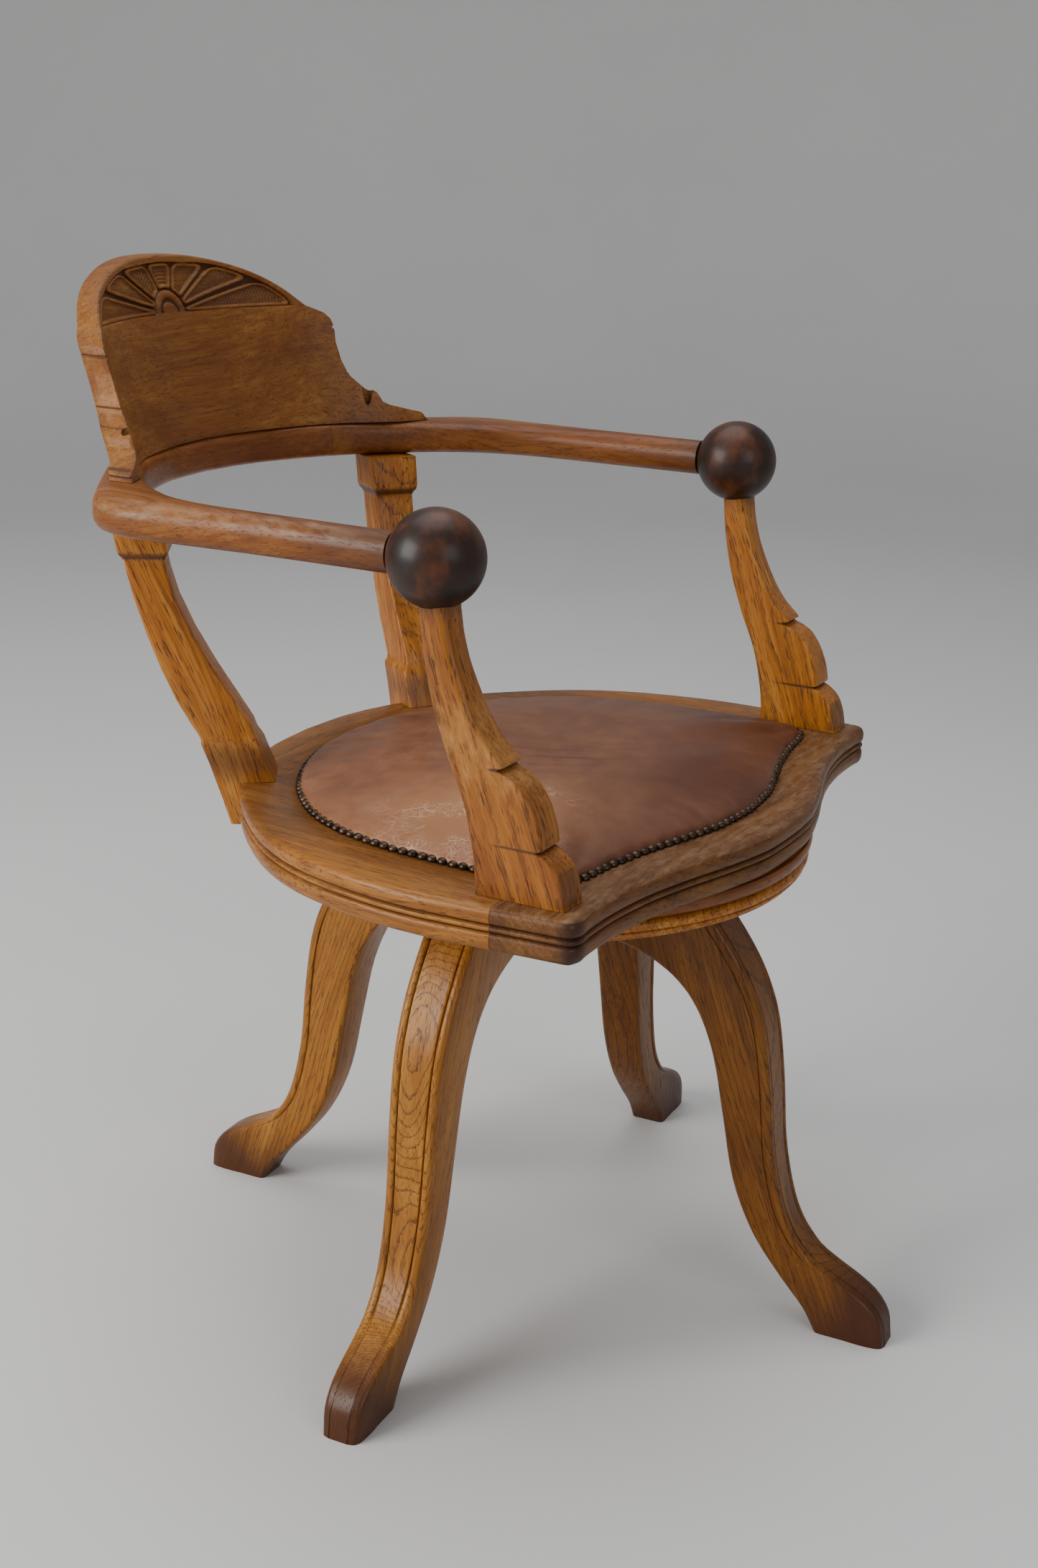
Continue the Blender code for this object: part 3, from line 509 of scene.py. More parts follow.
def make_leather(name):
    """Old brown hide: soft pebble, fine cracks that show pale, darker handled areas and painted shade along
    the creases.
    """
    n = Nodes(name)
    place = n.grain()
    cloud = n.noise(place, 8.0, 4.0, 0.6)
    fine = n.noise(place, 60.0, 5.0, 0.65)
    base = n.ramp(n.mix(0.4, cloud, fine), [(0.32, (0.098, 0.030, 0.013)), (0.50, (0.170, 0.063, 0.027)),
                                            (0.68, (0.255, 0.110, 0.050))])
    worn = n.mark("wear")
    tanned = n.mix(n.times(worn, 0.7), base, (0.36, 0.160, 0.068))
    dim = n.times(n.mark("rubbed"), n.band(cloud, 0.25, 0.6))
    dimmed = n.mix(n.times(dim, 0.9), tanned, (0.076, 0.017, 0.005))
    warped = n.moved(place, n.scaled(n.noise(place, 55.0, 4.0), (0.035, 0.035, 0.035)))
    wide = n.voronoi(warped, 62.0, 'DISTANCE_TO_EDGE')
    tight = n.voronoi(warped, 170.0, 'DISTANCE_TO_EDGE')
    some = n.band(n.noise(place, 26.0, 3.0), 0.44, 0.60)
    crack = n.math('MAXIMUM', n.band(wide, 0.030, 0.0), n.times(n.band(tight, 0.06, 0.0), 0.5))
    crack = n.times(n.times(crack, some), n.band(worn, 0.25, 0.9))
    # Painted shade: darker along the creases.
    crease_shaded = n.mix(n.times(n.mark("crease_shade"), 0.26), dimmed, (0.075, 0.022, 0.010))
    colour = n.mix(n.times(crack, 0.85), crease_shaded, (0.66, 0.43, 0.28))
    pebble = n.voronoi(place, 780.0)
    normal = n.bump(pebble, 0.14, 0.0004)
    normal = n.bump(n.noise(place, 34.0, 4.0), 0.16, 0.0025, normal)
    rough = n.math('ADD', 0.33, n.times(fine, 0.26))
    return n.finish(colour, rough, normal, 0.10, 0.28, 0.30)


def make_metal(name, dark, light, scale, roughness):
    """Dull metal in two tones."""
    n = Nodes(name)
    place = n.add("ShaderNodeTexCoord").outputs["Object"]
    cloud = n.noise(place, scale, 5.0, 0.65)
    colour = n.ramp(cloud, [(0.35, dark), (0.70, light)])
    rough = n.math('ADD', roughness, n.swing(cloud, 0.5, 0.3))
    n.shader.inputs["Metallic"].default_value = 1.0
    return n.finish(colour, rough, n.bump(cloud, 0.25, 0.0004))


# Dark colours for soiling and for painted shade in grooves and recesses; the leg one also paints shadow on
# the leg tops under the disc.
DIRT_AND_SHADE = (0.045, 0.017, 0.008)
FOOT_DIRT_AND_SHADE = (0.050, 0.014, 0.005)
# Each oak: its tones from pale to the ring line, its colour for soiling and painted shade, and its rubbed
# colour.
HONEY = make_oak(
    "oak_honey", ((0.51, 0.215, 0.034), (0.365, 0.122, 0.012), (0.20, 0.056, 0.005), (0.075, 0.020, 0.005)),
    DIRT_AND_SHADE, (0.50, 0.27, 0.09), 0.45, 0.8)
# Painted shade: a darker copy of the honey oak for the near arm post, whose face is more brightly lit.
POST_OAK_SHADED = make_oak(
    "oak_post_shaded", ((0.370, 0.142, 0.020), (0.262, 0.084, 0.009), (0.145, 0.040, 0.004), (0.060, 0.016, 0.004)),
    DIRT_AND_SHADE, (0.45, 0.220, 0.060), 0.45, 0.85)
# The leg oak is darker than the honey oak: painted shade for the legs under the seat.
LEG_OAK = make_oak(
    "oak_leg", ((0.426, 0.188, 0.028), (0.319, 0.121, 0.013), (0.198, 0.064, 0.005), (0.065, 0.019, 0.004)),
    FOOT_DIRT_AND_SHADE, (0.478, 0.289, 0.140), 0.75, 0.5, 0.34, blotch=0.25, ring_rate=160.0)
# Painted shade: a darker copy of the leg oak for the front and far legs, which stand in shade.
LEG_OAK_SHADED = make_oak(
    "oak_leg_shaded",
    ((0.239, 0.092, 0.006), (0.166, 0.054, 0.003), (0.093, 0.027, 0.002), (0.036, 0.012, 0.001)),
    FOOT_DIRT_AND_SHADE, (0.315, 0.143, 0.036), 0.55, 0.6)
BROWN = make_oak(
    "oak_brown", ((0.29, 0.120, 0.024), (0.205, 0.072, 0.012), (0.135, 0.038, 0.007), (0.060, 0.017, 0.005)),
    (0.040, 0.013, 0.006), (0.38, 0.165, 0.060), 0.2, 0.5, 0.46, 0.04, blotch=0.7)
ARM_OAK = make_oak(
    "oak_arm", ((0.282, 0.101, 0.018), (0.192, 0.058, 0.008), (0.110, 0.029, 0.005), (0.051, 0.013, 0.003)),
    (0.048, 0.020, 0.011), (0.288, 0.177, 0.099), 0.22, 0.5, 0.40, 0.08, 0.5)
BOW_OAK = make_oak(
    "oak_bow", ((0.29, 0.100, 0.020), (0.195, 0.058, 0.010), (0.11, 0.030, 0.006), (0.050, 0.014, 0.005)),
    (0.040, 0.014, 0.007), (0.36, 0.22, 0.13), 0.22, 0.4, 0.32, 0.15, 0.5)
RIM_OAK = make_oak(
    "oak_rim", ((0.385, 0.160, 0.028), (0.270, 0.097, 0.013), (0.157, 0.049, 0.007), (0.061, 0.018, 0.005)),
    (0.052, 0.022, 0.010), (0.34, 0.20, 0.105), 0.3, 0.6)
RAIL_OAK = make_oak(
    "oak_rail", ((0.212, 0.090, 0.022), (0.136, 0.050, 0.010), (0.081, 0.025, 0.006), (0.036, 0.012, 0.005)),
    (0.032, 0.012, 0.007), (0.27, 0.155, 0.085), 0.3, 0.5, 0.42)
DRUM_OAK = make_oak(
    "oak_drum", ((0.340, 0.104, 0.015), (0.220, 0.063, 0.009), (0.130, 0.036, 0.006), (0.070, 0.021, 0.005)),
    (0.03, 0.012, 0.006), (0.170, 0.068, 0.022), 0.3, 0.5)
PINE = make_oak(
    "pine", ((0.60, 0.40, 0.20), (0.50, 0.30, 0.13), (0.40, 0.22, 0.09), (0.28, 0.13, 0.05)),
    (0.14, 0.08, 0.04), (0.65, 0.48, 0.28), 0.5, 0.2, 0.6, 0.0)
BALL = make_polished("ball_dark")
LEATHER = make_leather("leather")
IRON = make_metal("iron", (0.045, 0.040, 0.036), (0.14, 0.125, 0.11), 90.0, 0.52)
BRASS = make_metal("brass", (0.26, 0.17, 0.06), (0.48, 0.34, 0.14), 110.0, 0.38)
NAIL = make_metal("nail", (0.030, 0.022, 0.017), (0.135, 0.085, 0.055), 160.0, 0.40)


# ---- base
def leg_section(front, back, half, moulded, toe):
    """Ring across the leg: a flat front panel between quirked beads, sides, and an eased back."""
    span = math.dist(front, back)
    profile = [(half, 0.5), (half * 0.5, 0.5), (9.4, 0.5), (8.7, 0.8), (8.3, 2.4), (7.7, 2.6), (7.3, 0.8),
               (6.2, 0.1), (4.4, 0.0), (2.6, 0.5), (1.1, 1.9), (0.3, 3.9), (0.2, 5.8), (0.6, 7.0),
               (1.9, 7.5), (1.9, 8.4), (1.1, 8.9), (0.9, 12.0)]
    plain = [(half, 0), (half * 0.5, 0), (9.4, 0), (8.0, 0.1), (7.4, 0.2), (6.6, 0.3), (5.8, 0.4),
             (5.0, 0.5), (4.2, 0.7), (3.0, 1.2), (2.0, 2.0), (1.2, 3.3), (0.7, 5.0), (0.4, 6.6),
             (0.2, 7.6), (0.2, 8.6), (0.2, 9.6), (0.2, 12.0)]
    rounding = 1 + toe
    half_ring = []
    for (inset_m, deep_m), (inset_p, deep_p) in zip(profile, plain):
        inset = inset_m * moulded + inset_p * (1 - moulded)
        deep = deep_m * moulded + deep_p * (1 - moulded) * rounding
        half_ring.append((half - inset, min(deep, span * 0.45)))
    half_ring += [(half - 0.6, span * 0.55), (half - 0.6, max(span - 5, span * 0.6)),
                  (half - 1.2, max(span - 2.2, span * 0.65)), (half - 2.6, max(span - 0.7, span * 0.7)),
                  (half - 5, span), (0, span)]
    ring = half_ring + [(-across, deep) for across, deep in reversed(half_ring[1:-1])]
    along = ((back[0] - front[0]) / span, (back[1] - front[1]) / span)
    return [(front[0] + along[0] * deep, across, front[1] + along[1] * deep) for across, deep in ring]


def leg_mesh():
    """Sections from the root under the disc, out and down to the toe."""
    fronts = LEG_ROOT_FRONT + [tuple(p) for p in resample(smooth_path(LEG_FRONT), 64)]
    back_path = smooth_path(LEG_BACK)
    split = next(i for i, p in enumerate(back_path) if p[0] > LEG_ROOT_END)
    backs = LEG_ROOT_BACK + [tuple(p) for p in resample(back_path[split:], 64)]
    rings = []
    for i, (front, back) in enumerate(zip(fronts, backs)):
        height = front[1]
        share = min(1.0, height / LEG_TAPER_TOP)
        half = (LEG_FOOT_WIDTH + (LEG_TOP_WIDTH - LEG_FOOT_WIDTH) * share) / 2
        moulded = 0.0 if i < len(LEG_ROOT_FRONT) else between(height, 46, 68)
        rings.append(leg_section(front, back, half, moulded, between(height, 60, 0)))
    return skin(rings)


def make_legs():
    shape = leg_mesh()
    # The front and far legs take the painted-shade copy of the leg oak.
    for name, angle, shift, oak in (("leg_front", -90, 0.0, LEG_OAK_SHADED), ("leg_left", 0, 0.31, LEG_OAK_SHADED),
                                    ("leg_back", 90, 0.63, LEG_OAK), ("leg_right", 180, 0.94, LEG_OAK)):
        mesh = shape.copy()
        turn = math.radians(angle + BASE_TURN)
        out = (math.cos(turn), math.sin(turn))
        mesh.transform(Matrix.Rotation(turn, 4, 'Z'))

        # Soiling at the feet and towards the toes; painted shadow on the tops of the legs under the disc.
        def wear(x, y, z, out=out):
            reach = x * out[0] + y * out[1]
            low = between(z, 85, 0) * 0.75 + between(reach, 262, 312) * 0.45
            return low + between(z, 325, 360) * 0.8
        finish_piece(name + "_wood", mesh, oak, "base", "oak_honey", [name],
                     (out[0] * 0.34, out[1] * 0.34, -0.94), (shift, shift * 0.3, 0.01), wear, sharp=48)


def make_disc_and_drum():
    disc = [(17.3, DISC_TOP), (205.5, DISC_TOP), (208.5, 374.6), (211, 373.4), (212.3, 371.6),
            (212.4, 369.6), (211.4, 367.9), (209.8, 367.1), (209.2, 366.5), (210.2, 365.9),
            (210.4, 364.8), (209.4, 363.7), (207.4, 363.0), (206.8, 362.2), (206.6, 360.6),
            (205.4, DISC_BOTTOM), (17.3, DISC_BOTTOM)]
    finish_piece("base_disc_wood", turned(disc), HONEY, "base", "oak_honey", ["base_disc"],
                 (0.9, 0.4, 0), (0.2, 0.4, 0.1), sharp=40)
    drum = [(DRUM_INNER, DRUM_TOP), (213.2, DRUM_TOP), (214.1, 386.8), (214.5, 385.4), (214.5, 383.4),
            (214.1, 381.0), (DRUM_RADIUS, 378.6), (211.2, 376.8), (208.6, 375.6), (206, DISC_TOP + GAP),
            (DRUM_INNER, DISC_TOP + GAP)]
    finish_piece("seat_drum_wood", turned(drum), DRUM_OAK, "seat", "oak_drum", ["seat_drum"],
                 (0.95, -0.3, 0), (0.5, 0.1, 0.3), sharp=40)


# ---- seat frame
def half_outline(front, side):
    return smooth_path(front, 8)[:-1] + smooth_path(side, 8)


def rear_joint(point):
    """Positive on the side rail's side of the joint behind the rear post."""
    turn = math.radians(REAR_POST_ANGLE)
    return point[0] * math.sin(turn) - point[1] * math.cos(turn) - REAR_POST_OFFSET


def rail_mesh(rim, pad, count):
    """One rail of the seat frame between matching stretches of the rim and the leather's edge."""
    outer = resample(rim, count)
    inner = resample(pad, count)
    normals = inward(outer)
    rings = []
    for (x, y), (u, v), (nx, ny) in zip(outer, inner, normals):
        ring = [(x + nx * inset, y + ny * inset, z) for inset, z in RIM_MOULD]
        to_rim = Vector((x - u, y - v)).normalized()
        ring += [(u, v, RIM_BOTTOM), (u, v, 418.8), (u + to_rim.x * 1.2, v + to_rim.y * 1.2, RIM_TOP)]
        rings.append(ring)
    return skin(rings)


def make_rim():
    rim = half_outline(RIM_FRONT, RIM_SIDE)
    pad = half_outline(PAD_FRONT, PAD_SIDE)
    split = FRONT_JOINT_Y

    def front(p):
        return split - GAP / 2 - p[1]

    def side(p):
        return min(p[1] - split - GAP / 2, rear_joint(p) - GAP / 2)

    def back(p):
        return min(-rear_joint(p) - GAP / 2, p[1])

    def whole(half):
        return [(-x, y) for x, y in reversed(half[1:])] + half

    def both(keep, path, at_front):
        half = clipped(path, keep)
        return whole(half) if at_front else whole(half[::-1])[::-1]

    # Painted shade in the moulding's two grooves and on the underside; darker at the front corners; soiling
    # from handling along the back.
    def wear(x, y, z):
        groove_shade = 0.9 * max(bell(z, level, 0.8) for level in RIM_GROOVES)
        corner = 0.75 * bell(math.hypot(abs(x) - 268, y + 168), 0, 13) * (z < 419)
        handled = 0.42 * between(y, 20, 100) * (z > 415)
        return max(groove_shade, corner, handled) + (0.2 if z < 390 else 0.0)

    def rubbed(x, y, z):
        top = 0.5 if z > 417 else 0.12
        return top * (0.55 + 0.45 * between(y, 0, -120))
    shade = {"wear": wear, "rubbed": rubbed, "sharp": 50}
    mesh = rail_mesh(both(front, rim, True), both(front, pad, True), 200)
    finish_piece("rim_front_wood", mesh, RAIL_OAK, "seat", "oak_honey", ["rim_front"], (1, 0, 0),
                 (0.1, 0.2, 0.0), **shade)
    mesh = rail_mesh(clipped(rim, side), clipped(pad, side), 150)
    finish_pair("rim_side", mesh, (RIM_OAK, RIM_OAK), "oak_honey", (-0.1, 1, 0),
                ((0.4, 0.1, 0.02), (0.7, 0.3, 0.05)), **shade)
    mesh = rail_mesh(both(back, rim, False), both(back, pad, False), 120)
    finish_piece("rim_back_wood", mesh, RIM_OAK, "seat", "oak_honey", ["rim_back"], (1, 0, 0),
                 (0.9, 0.15, 0.0), **shade)


# ---- leather pad and nails
def pad_outline():
    """The leather's whole edge in plan, its last point on its first."""
    half = half_outline(PAD_FRONT, PAD_SIDE)
    outline = half + [(-x, y) for x, y in reversed(half[1:-1])]
    return outline + outline[:1]


def pad_ring(share, height):
    return [(x * share, y * share, height) for x, y in resample(pad_outline(), 161)[:-1]]


def crease_depth(x, y):
    """Depth of the soft creases at a place on the pad, all of them wandering a little."""
    right, back = x - CREASE_CENTRE[0], y - CREASE_CENTRE[1]
    along = right * CREASE_LINE[0] + back * CREASE_LINE[1]
    across = back * CREASE_LINE[0] - right * CREASE_LINE[1]
    across += 7 * noise.noise(Vector((along * 0.012, across * 0.02, 3.7)))
    return sum(depth * bell(across, place, width) * bell(along, shift, reach)
               for place, width, depth, shift, reach in CREASES)


def make_pad():
    """Leather stuffed over the board: swelled by cloth pressure and held at its nailed edge."""
    rise = PAD_CROWN - 5 - PAD_BASE
    levels = ((0.992, 0.0), (0.996, 0.10), (0.992, 0.20), (0.965, 0.40), (0.91, 0.60), (0.80, 0.80),
              (0.62, 0.93), (0.38, 0.99), (0.14, 1.0))
    mesh = skin([pad_ring(share, PAD_BASE + rise * up) for share, up in levels])
    obj = add_object("seat_leather", mesh)
    swell(obj)
    mesh = obj.data
    crown = max(vert.co.z for vert in mesh.vertices) / MM
    for vert in mesh.vertices:
        x, y, z = vert.co / MM
        if z > PAD_BASE:
            up = (z - PAD_BASE) / (crown - PAD_BASE)
            z = PAD_BASE + (PAD_TOP - PAD_BASE) * up ** PAD_FULLNESS
        if z > PAD_BASE + 8:
            z -= crease_depth(x, y)
        vert.co.z = z * MM

    def worn(x, y, z):
        return 1.2 * bell(x, -160, 72) * bell(y, -35, 80)

    def dim(x, y, z):
        return between(0.15 * x - y, 45, 120) + 0.6 * between(x, 120, 210)

    # This mark sets where the painted shade along the creases falls.
    def crease_shade_rule(x, y, z):
        return crease_depth(x, y) / 1.2
    mesh.materials.clear()
    mesh.materials.append(LEATHER)
    set_grain(mesh, (1, 0, 0), (0, 0, 0))
    for name, rule in (("wear", worn), ("rubbed", dim), ("crease_shade", crease_shade_rule)):
        set_mark(mesh, name, rule)
    mesh.shade_smooth()
    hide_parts("seat_pad")
    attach(obj, "seat")


def apply_modifier(obj, kind, **settings):
    modifier = obj.modifiers.new(kind.lower(), kind)
    set_all(modifier, settings)
    bpy.ops.object.modifier_apply(modifier=modifier.name)


def swell(obj):
    """Voxel remesh, then cloth under pressure with the edge pinned, applied and smoothed."""
    bpy.context.view_layer.objects.active = obj
    obj.select_set(True)
    apply_modifier(obj, 'REMESH', mode='VOXEL', voxel_size=CLOTH_VOXEL * MM)
    start = coords(obj.data)
    pinned = obj.vertex_groups.new(name="edge")
    low = [i for i, co in enumerate(start) if co[2] < (PAD_BASE + 5) * MM]
    pinned.add(low, 1.0, 'REPLACE')
    cloth = obj.modifiers.new("cloth", 'CLOTH')
    set_all(cloth.settings, {
        "quality": 6, "mass": 0.4, "tension_stiffness": 25, "compression_stiffness": 25,
        "bending_stiffness": 1.5, "use_pressure": True, "uniform_pressure_force": 4.0,
        "vertex_group_mass": "edge"})
    cloth.settings.effector_weights.gravity = 0
    scene = bpy.context.scene
    for number in range(1, CLOTH_FRAMES + 1):
        scene.frame_set(number)
    evaluated = obj.evaluated_get(bpy.context.evaluated_depsgraph_get())
    swelled = coords(evaluated.data)
    obj.modifiers.remove(cloth)
    scene.frame_set(1)
    travel = swelled - start
    length = np.linalg.norm(travel, axis=1, keepdims=True)
    travel *= np.minimum(1.0, CLOTH_REACH * MM / np.maximum(length, 1e-9))
    obj.data.vertices.foreach_set("co", (start + travel).astype(np.float32).ravel())
    apply_modifier(obj, 'SUBSURF', levels=1, render_levels=1)
    obj.vertex_groups.clear()
    obj.select_set(False)


def make_nails():
    """Close row of domed nails round the leather's edge, each set a little differently."""
    outline = pad_outline()
    length = sum(math.dist(a, b) for a, b in zip(outline, outline[1:]))
    count = int(length / NAIL_PITCH)
    places = resample(outline, count + 1)[:-1]
    turns = [2 * math.pi * k / NAIL_SIDES for k in range(NAIL_SIDES)]
    bm = bmesh.new()
    for k, (x, y) in enumerate(places):
        wobble = noise.noise_vector(Vector((k * 1.7, 0.3, 9.1)))
        tilt = Matrix.Rotation(0.10 * wobble.x, 4, 'X') @ Matrix.Rotation(0.10 * wobble.y, 4, 'Y')
        inner = Vector((x, y)) * (1 - 2.6 / math.hypot(x, y))
        seat = Matrix.Translation((inner.x + 0.3 * wobble.z, inner.y + 0.3 * wobble.x,
                                   RIM_TOP + 1.6 + 0.25 * wobble.y))
        loft(bm, [[seat @ tilt @ Vector((radius * math.cos(a), radius * math.sin(a), z)) for a in turns]
                  for radius, z in NAIL_HEAD])
    finish_piece("seat_nails", mesh_from(bm, "seat_nails"), NAIL, "seat", "iron", sharp=60)


# ---- arms
def post_ring(front, rear, front_ease, rear_ease, height):
    """Level ring round an arm post, from its front edge to its rear edge, with eased corners."""
    half = (ARM_POST_OUT - ARM_POST_IN) / 2
    middle = (ARM_POST_OUT + ARM_POST_IN) / 2
    near, far = front + front_ease, rear - rear_ease
    flat = [near + min(3, (far - near) * 0.2), near + min(8, (far - near) * 0.4), (near + far) / 2]
    ring = []
    for side, cy, ease, start in ((1, far, rear_ease, 0), (-1, far, rear_ease, 90),
                                  (-1, near, front_ease, 180), (1, near, front_ease, 270)):
        if start == 180:
            ring += [(middle - half, y) for y in reversed(flat)]
        ring += quarter(middle + side * (half - ease), cy, ease, start, 6)
    ring += [(middle + half, y) for y in flat]
    return [(x, y, height) for x, y in ring]


def make_arm_posts():
    """Posts lofted level by level; the top is scooped to seat the ball."""
    front = (smooth_path(ARM_POST_HOLLOW, 8) + ARM_POST_NOTCH + smooth_path(ARM_POST_LOBE_1, 5)
             + ARM_POST_QUIRK + smooth_path(ARM_POST_LOBE_2, 5))
    rear_y, rear_z = np.array(smooth_path(ARM_POST_REAR, 8)).T
    rings = []
    for y, z in front:
        slim = between(z, 515, 575)
        rear = float(np.interp(z, rear_z, rear_y))
        rings.append(post_ring(y, rear, 1.8 + 6.2 * slim, 2.2 + 3.3 * slim, z))
    cx, cy, cz = BALL_CENTRE
    top = [(x, y) for x, y, z in rings[0]]

    def towards_ball(share):
        return [(cx + (x - cx) * share, cy + (y - cy) * share) for x, y in top]

    def bowl(x, y):
        """Height of the scooped seat under the ball."""
        return cz - math.sqrt(max(0.0, (BALL_RADIUS + BALL_FIT) ** 2 - (x - cx) ** 2 - (y - cy) ** 2))
    scoop = [(x, y, bowl(x, y)) for x, y in top]
    inner = [(x, y, max(BALL_FOOT, bowl(x, y))) for x, y in towards_ball(0.8)]
    flat = [(x, y, BALL_FOOT - 0.2) for x, y in towards_ball(0.4)]
    neck = [(x, y, BALL_FOOT - 1.5) for x, y in top]
    rings = [flat, inner, scoop, neck] + rings[1:]

    # Painted shade in the notches and quirks of the front lobes; darker near the ball and at the foot of the
    # lower lobe.
    def wear(x, y, z):
        notch_shade = bell(z, 508.6, 1.6) + bell(z, 457, 1.4)
        return 0.8 * notch_shade * (y < -98) + 0.5 * max(0.0, (z - 590) / 18) + 0.5 * (y < -150) * (z > 421)

    def rubbed(x, y, z):
        return 0.58 * bell(z, 520, 50) * (x < 0)
    # The near (right) post takes the painted-shade copy of the honey oak.
    finish_pair("arm_post", skin(rings), (HONEY, POST_OAK_SHADED), "oak_honey", (0, 0.30, 0.95),
                ((0.2, 0.1, 0.04), (0.55, 0.1, 0.04)), wear=wear, rubbed=rubbed, sharp=34)


def make_balls():
    """Turned balls, flat where each meets its post and its arm."""
    foot = (BALL_FOOT + GAP) * MM
    back = (BOW_STATIONS[0][0][1] - GAP) * MM
    bm = bmesh.new()
    bmesh.ops.create_uvsphere(bm, u_segments=96, v_segments=64, radius=BALL_RADIUS * MM)
    for vert in bm.verts:
        vert.co += Vector(BALL_CENTRE) * MM
        vert.co.z = max(vert.co.z, foot)
        vert.co.y = min(vert.co.y, back)
    bmesh.ops.dissolve_degenerate(bm, dist=0.00002, edges=bm.edges)
    finish_pair("ball", mesh_from(bm, "ball"), (BALL, BALL), "ball_dark", (0, 0, 1),
                ((0.2, 0.1, 0.3), (-0.2, 0.1, 0.3)), sharp=50)


def bow_path(stations):
    inner = smooth_path([s[0] for s in stations], BOW_STEPS)
    outer = smooth_path([s[1] for s in stations], BOW_STEPS)
    marks = np.linspace(0, len(stations) - 1, len(inner))
    square = np.interp(marks, np.arange(len(stations)), [s[2] for s in stations])
    return list(zip(inner, outer, square))


def bow_ring(inner, outer, squareness, points=44):
    middle = (Vector(inner) + Vector(outer)) / 2
    reach = (Vector(outer) - Vector(inner)) / 2
    half_height = (BOW_TOP - BOW_BOTTOM) / 2
    ring = []
    for k in range(points):
        turn = 2 * math.pi * (k + 0.5) / points
        across = math.copysign(abs(math.cos(turn)) ** (2 / squareness), math.cos(turn))
        up = math.copysign(abs(math.sin(turn)) ** (2 / squareness), math.sin(turn))
        place = middle + reach * across
        ring.append((place.x, place.y, (BOW_TOP + BOW_BOTTOM) / 2 + half_height * up))
    return ring


def make_arms():
    """The bow in three lengths: two arms and the back between them."""
    path = bow_path(BOW_STATIONS)
    cut = BOW_JOINT * BOW_STEPS
    rings = [bow_ring(*item) for item in path[:cut + 1]]

    def wear(x, y, z):
        return between(y, 80, -40) * 0.7

    def rubbed(x, y, z):
        return between(abs(x), 238, 252) * between(z, 634, 646) * 0.55
    finish_pair("arm", skin(rings), (ARM_OAK, ARM_OAK), "oak_brown", (-0.18, 0.98, 0),
                ((0.15, 0.05, 0.1), (0.6, 0.05, 0.1)), wear=wear, rubbed=rubbed)
    inner, outer, square = path[cut]
    after = path[cut + 1]
    step = (Vector(after[0]) - Vector(inner)).normalized() * GAP
    first = ((inner[0] + step.x, inner[1] + step.y), (outer[0] + step.x, outer[1] + step.y), square)
    half = [bow_ring(*item) for item in [first] + path[cut + 1:]]
    rings = half + [[(-x, y, z) for x, y, z in ring] for ring in reversed(half[:-1])]
    finish_piece("bow_back_wood", skin(rings), BOW_OAK, "seat", "oak_brown", ["bow_back"], (1, 0, 0),
                 (0.35, 0.2, 0.1))


def make_rear_posts():
    """Shaped posts: a foot that laps the rim, a collar, a slimmer curved shaft and a block on top."""
    rows = []
    for a, b in zip(REAR_POST, REAR_POST[1:]):
        pieces = 4 if b[0] - a[0] > 6 else 1
        for k in range(pieces):
            t = k / pieces
            rows.append([p + (q - p) * t for p, q in zip(a, b)])
    rows.append(list(REAR_POST[-1]))
    rings = []
    for z, front, rear, width in rows:
        half = width / 2 - REAR_POST_EASE
        near, far = front + REAR_POST_EASE, rear - REAR_POST_EASE
        ring = []
        for cx, cy, start in ((far, half, 0), (near, half, 90), (near, -half, 180), (far, -half, 270)):
            ring += quarter(cx, cy - REAR_POST_OFFSET, REAR_POST_EASE, start, 4)
        rings.append([(x, y, z) for x, y in ring])
    mesh = skin(rings)
    turn = math.radians(REAR_POST_ANGLE)
    mesh.transform(Matrix.Rotation(turn, 4, 'Z'))

    # Darker round the foot where it laps the rim; painted shadow in the recess under the top block.
    def wear(x, y, z):
        return 0.5 * bell(z, 436, 20) + 0.9 * bell(z, 595, 2.5)
    finish_pair("rear_post", mesh, (HONEY, HONEY), "oak_honey",
                (0.36 * math.cos(turn), 0.36 * math.sin(turn), 0.93),
                ((0.12, 0.2, 0.07), (0.44, 0.2, 0.07)), wear=wear, sharp=40)


# ---- carved back panel
def rounded_meet(a, b, radius):
    """Inside distance to two edges at once, with the corner between them rounded."""
    corner = radius - np.hypot(radius - a, radius - b)
    return np.where((a < radius) & (b < radius), corner, np.minimum(a, b))


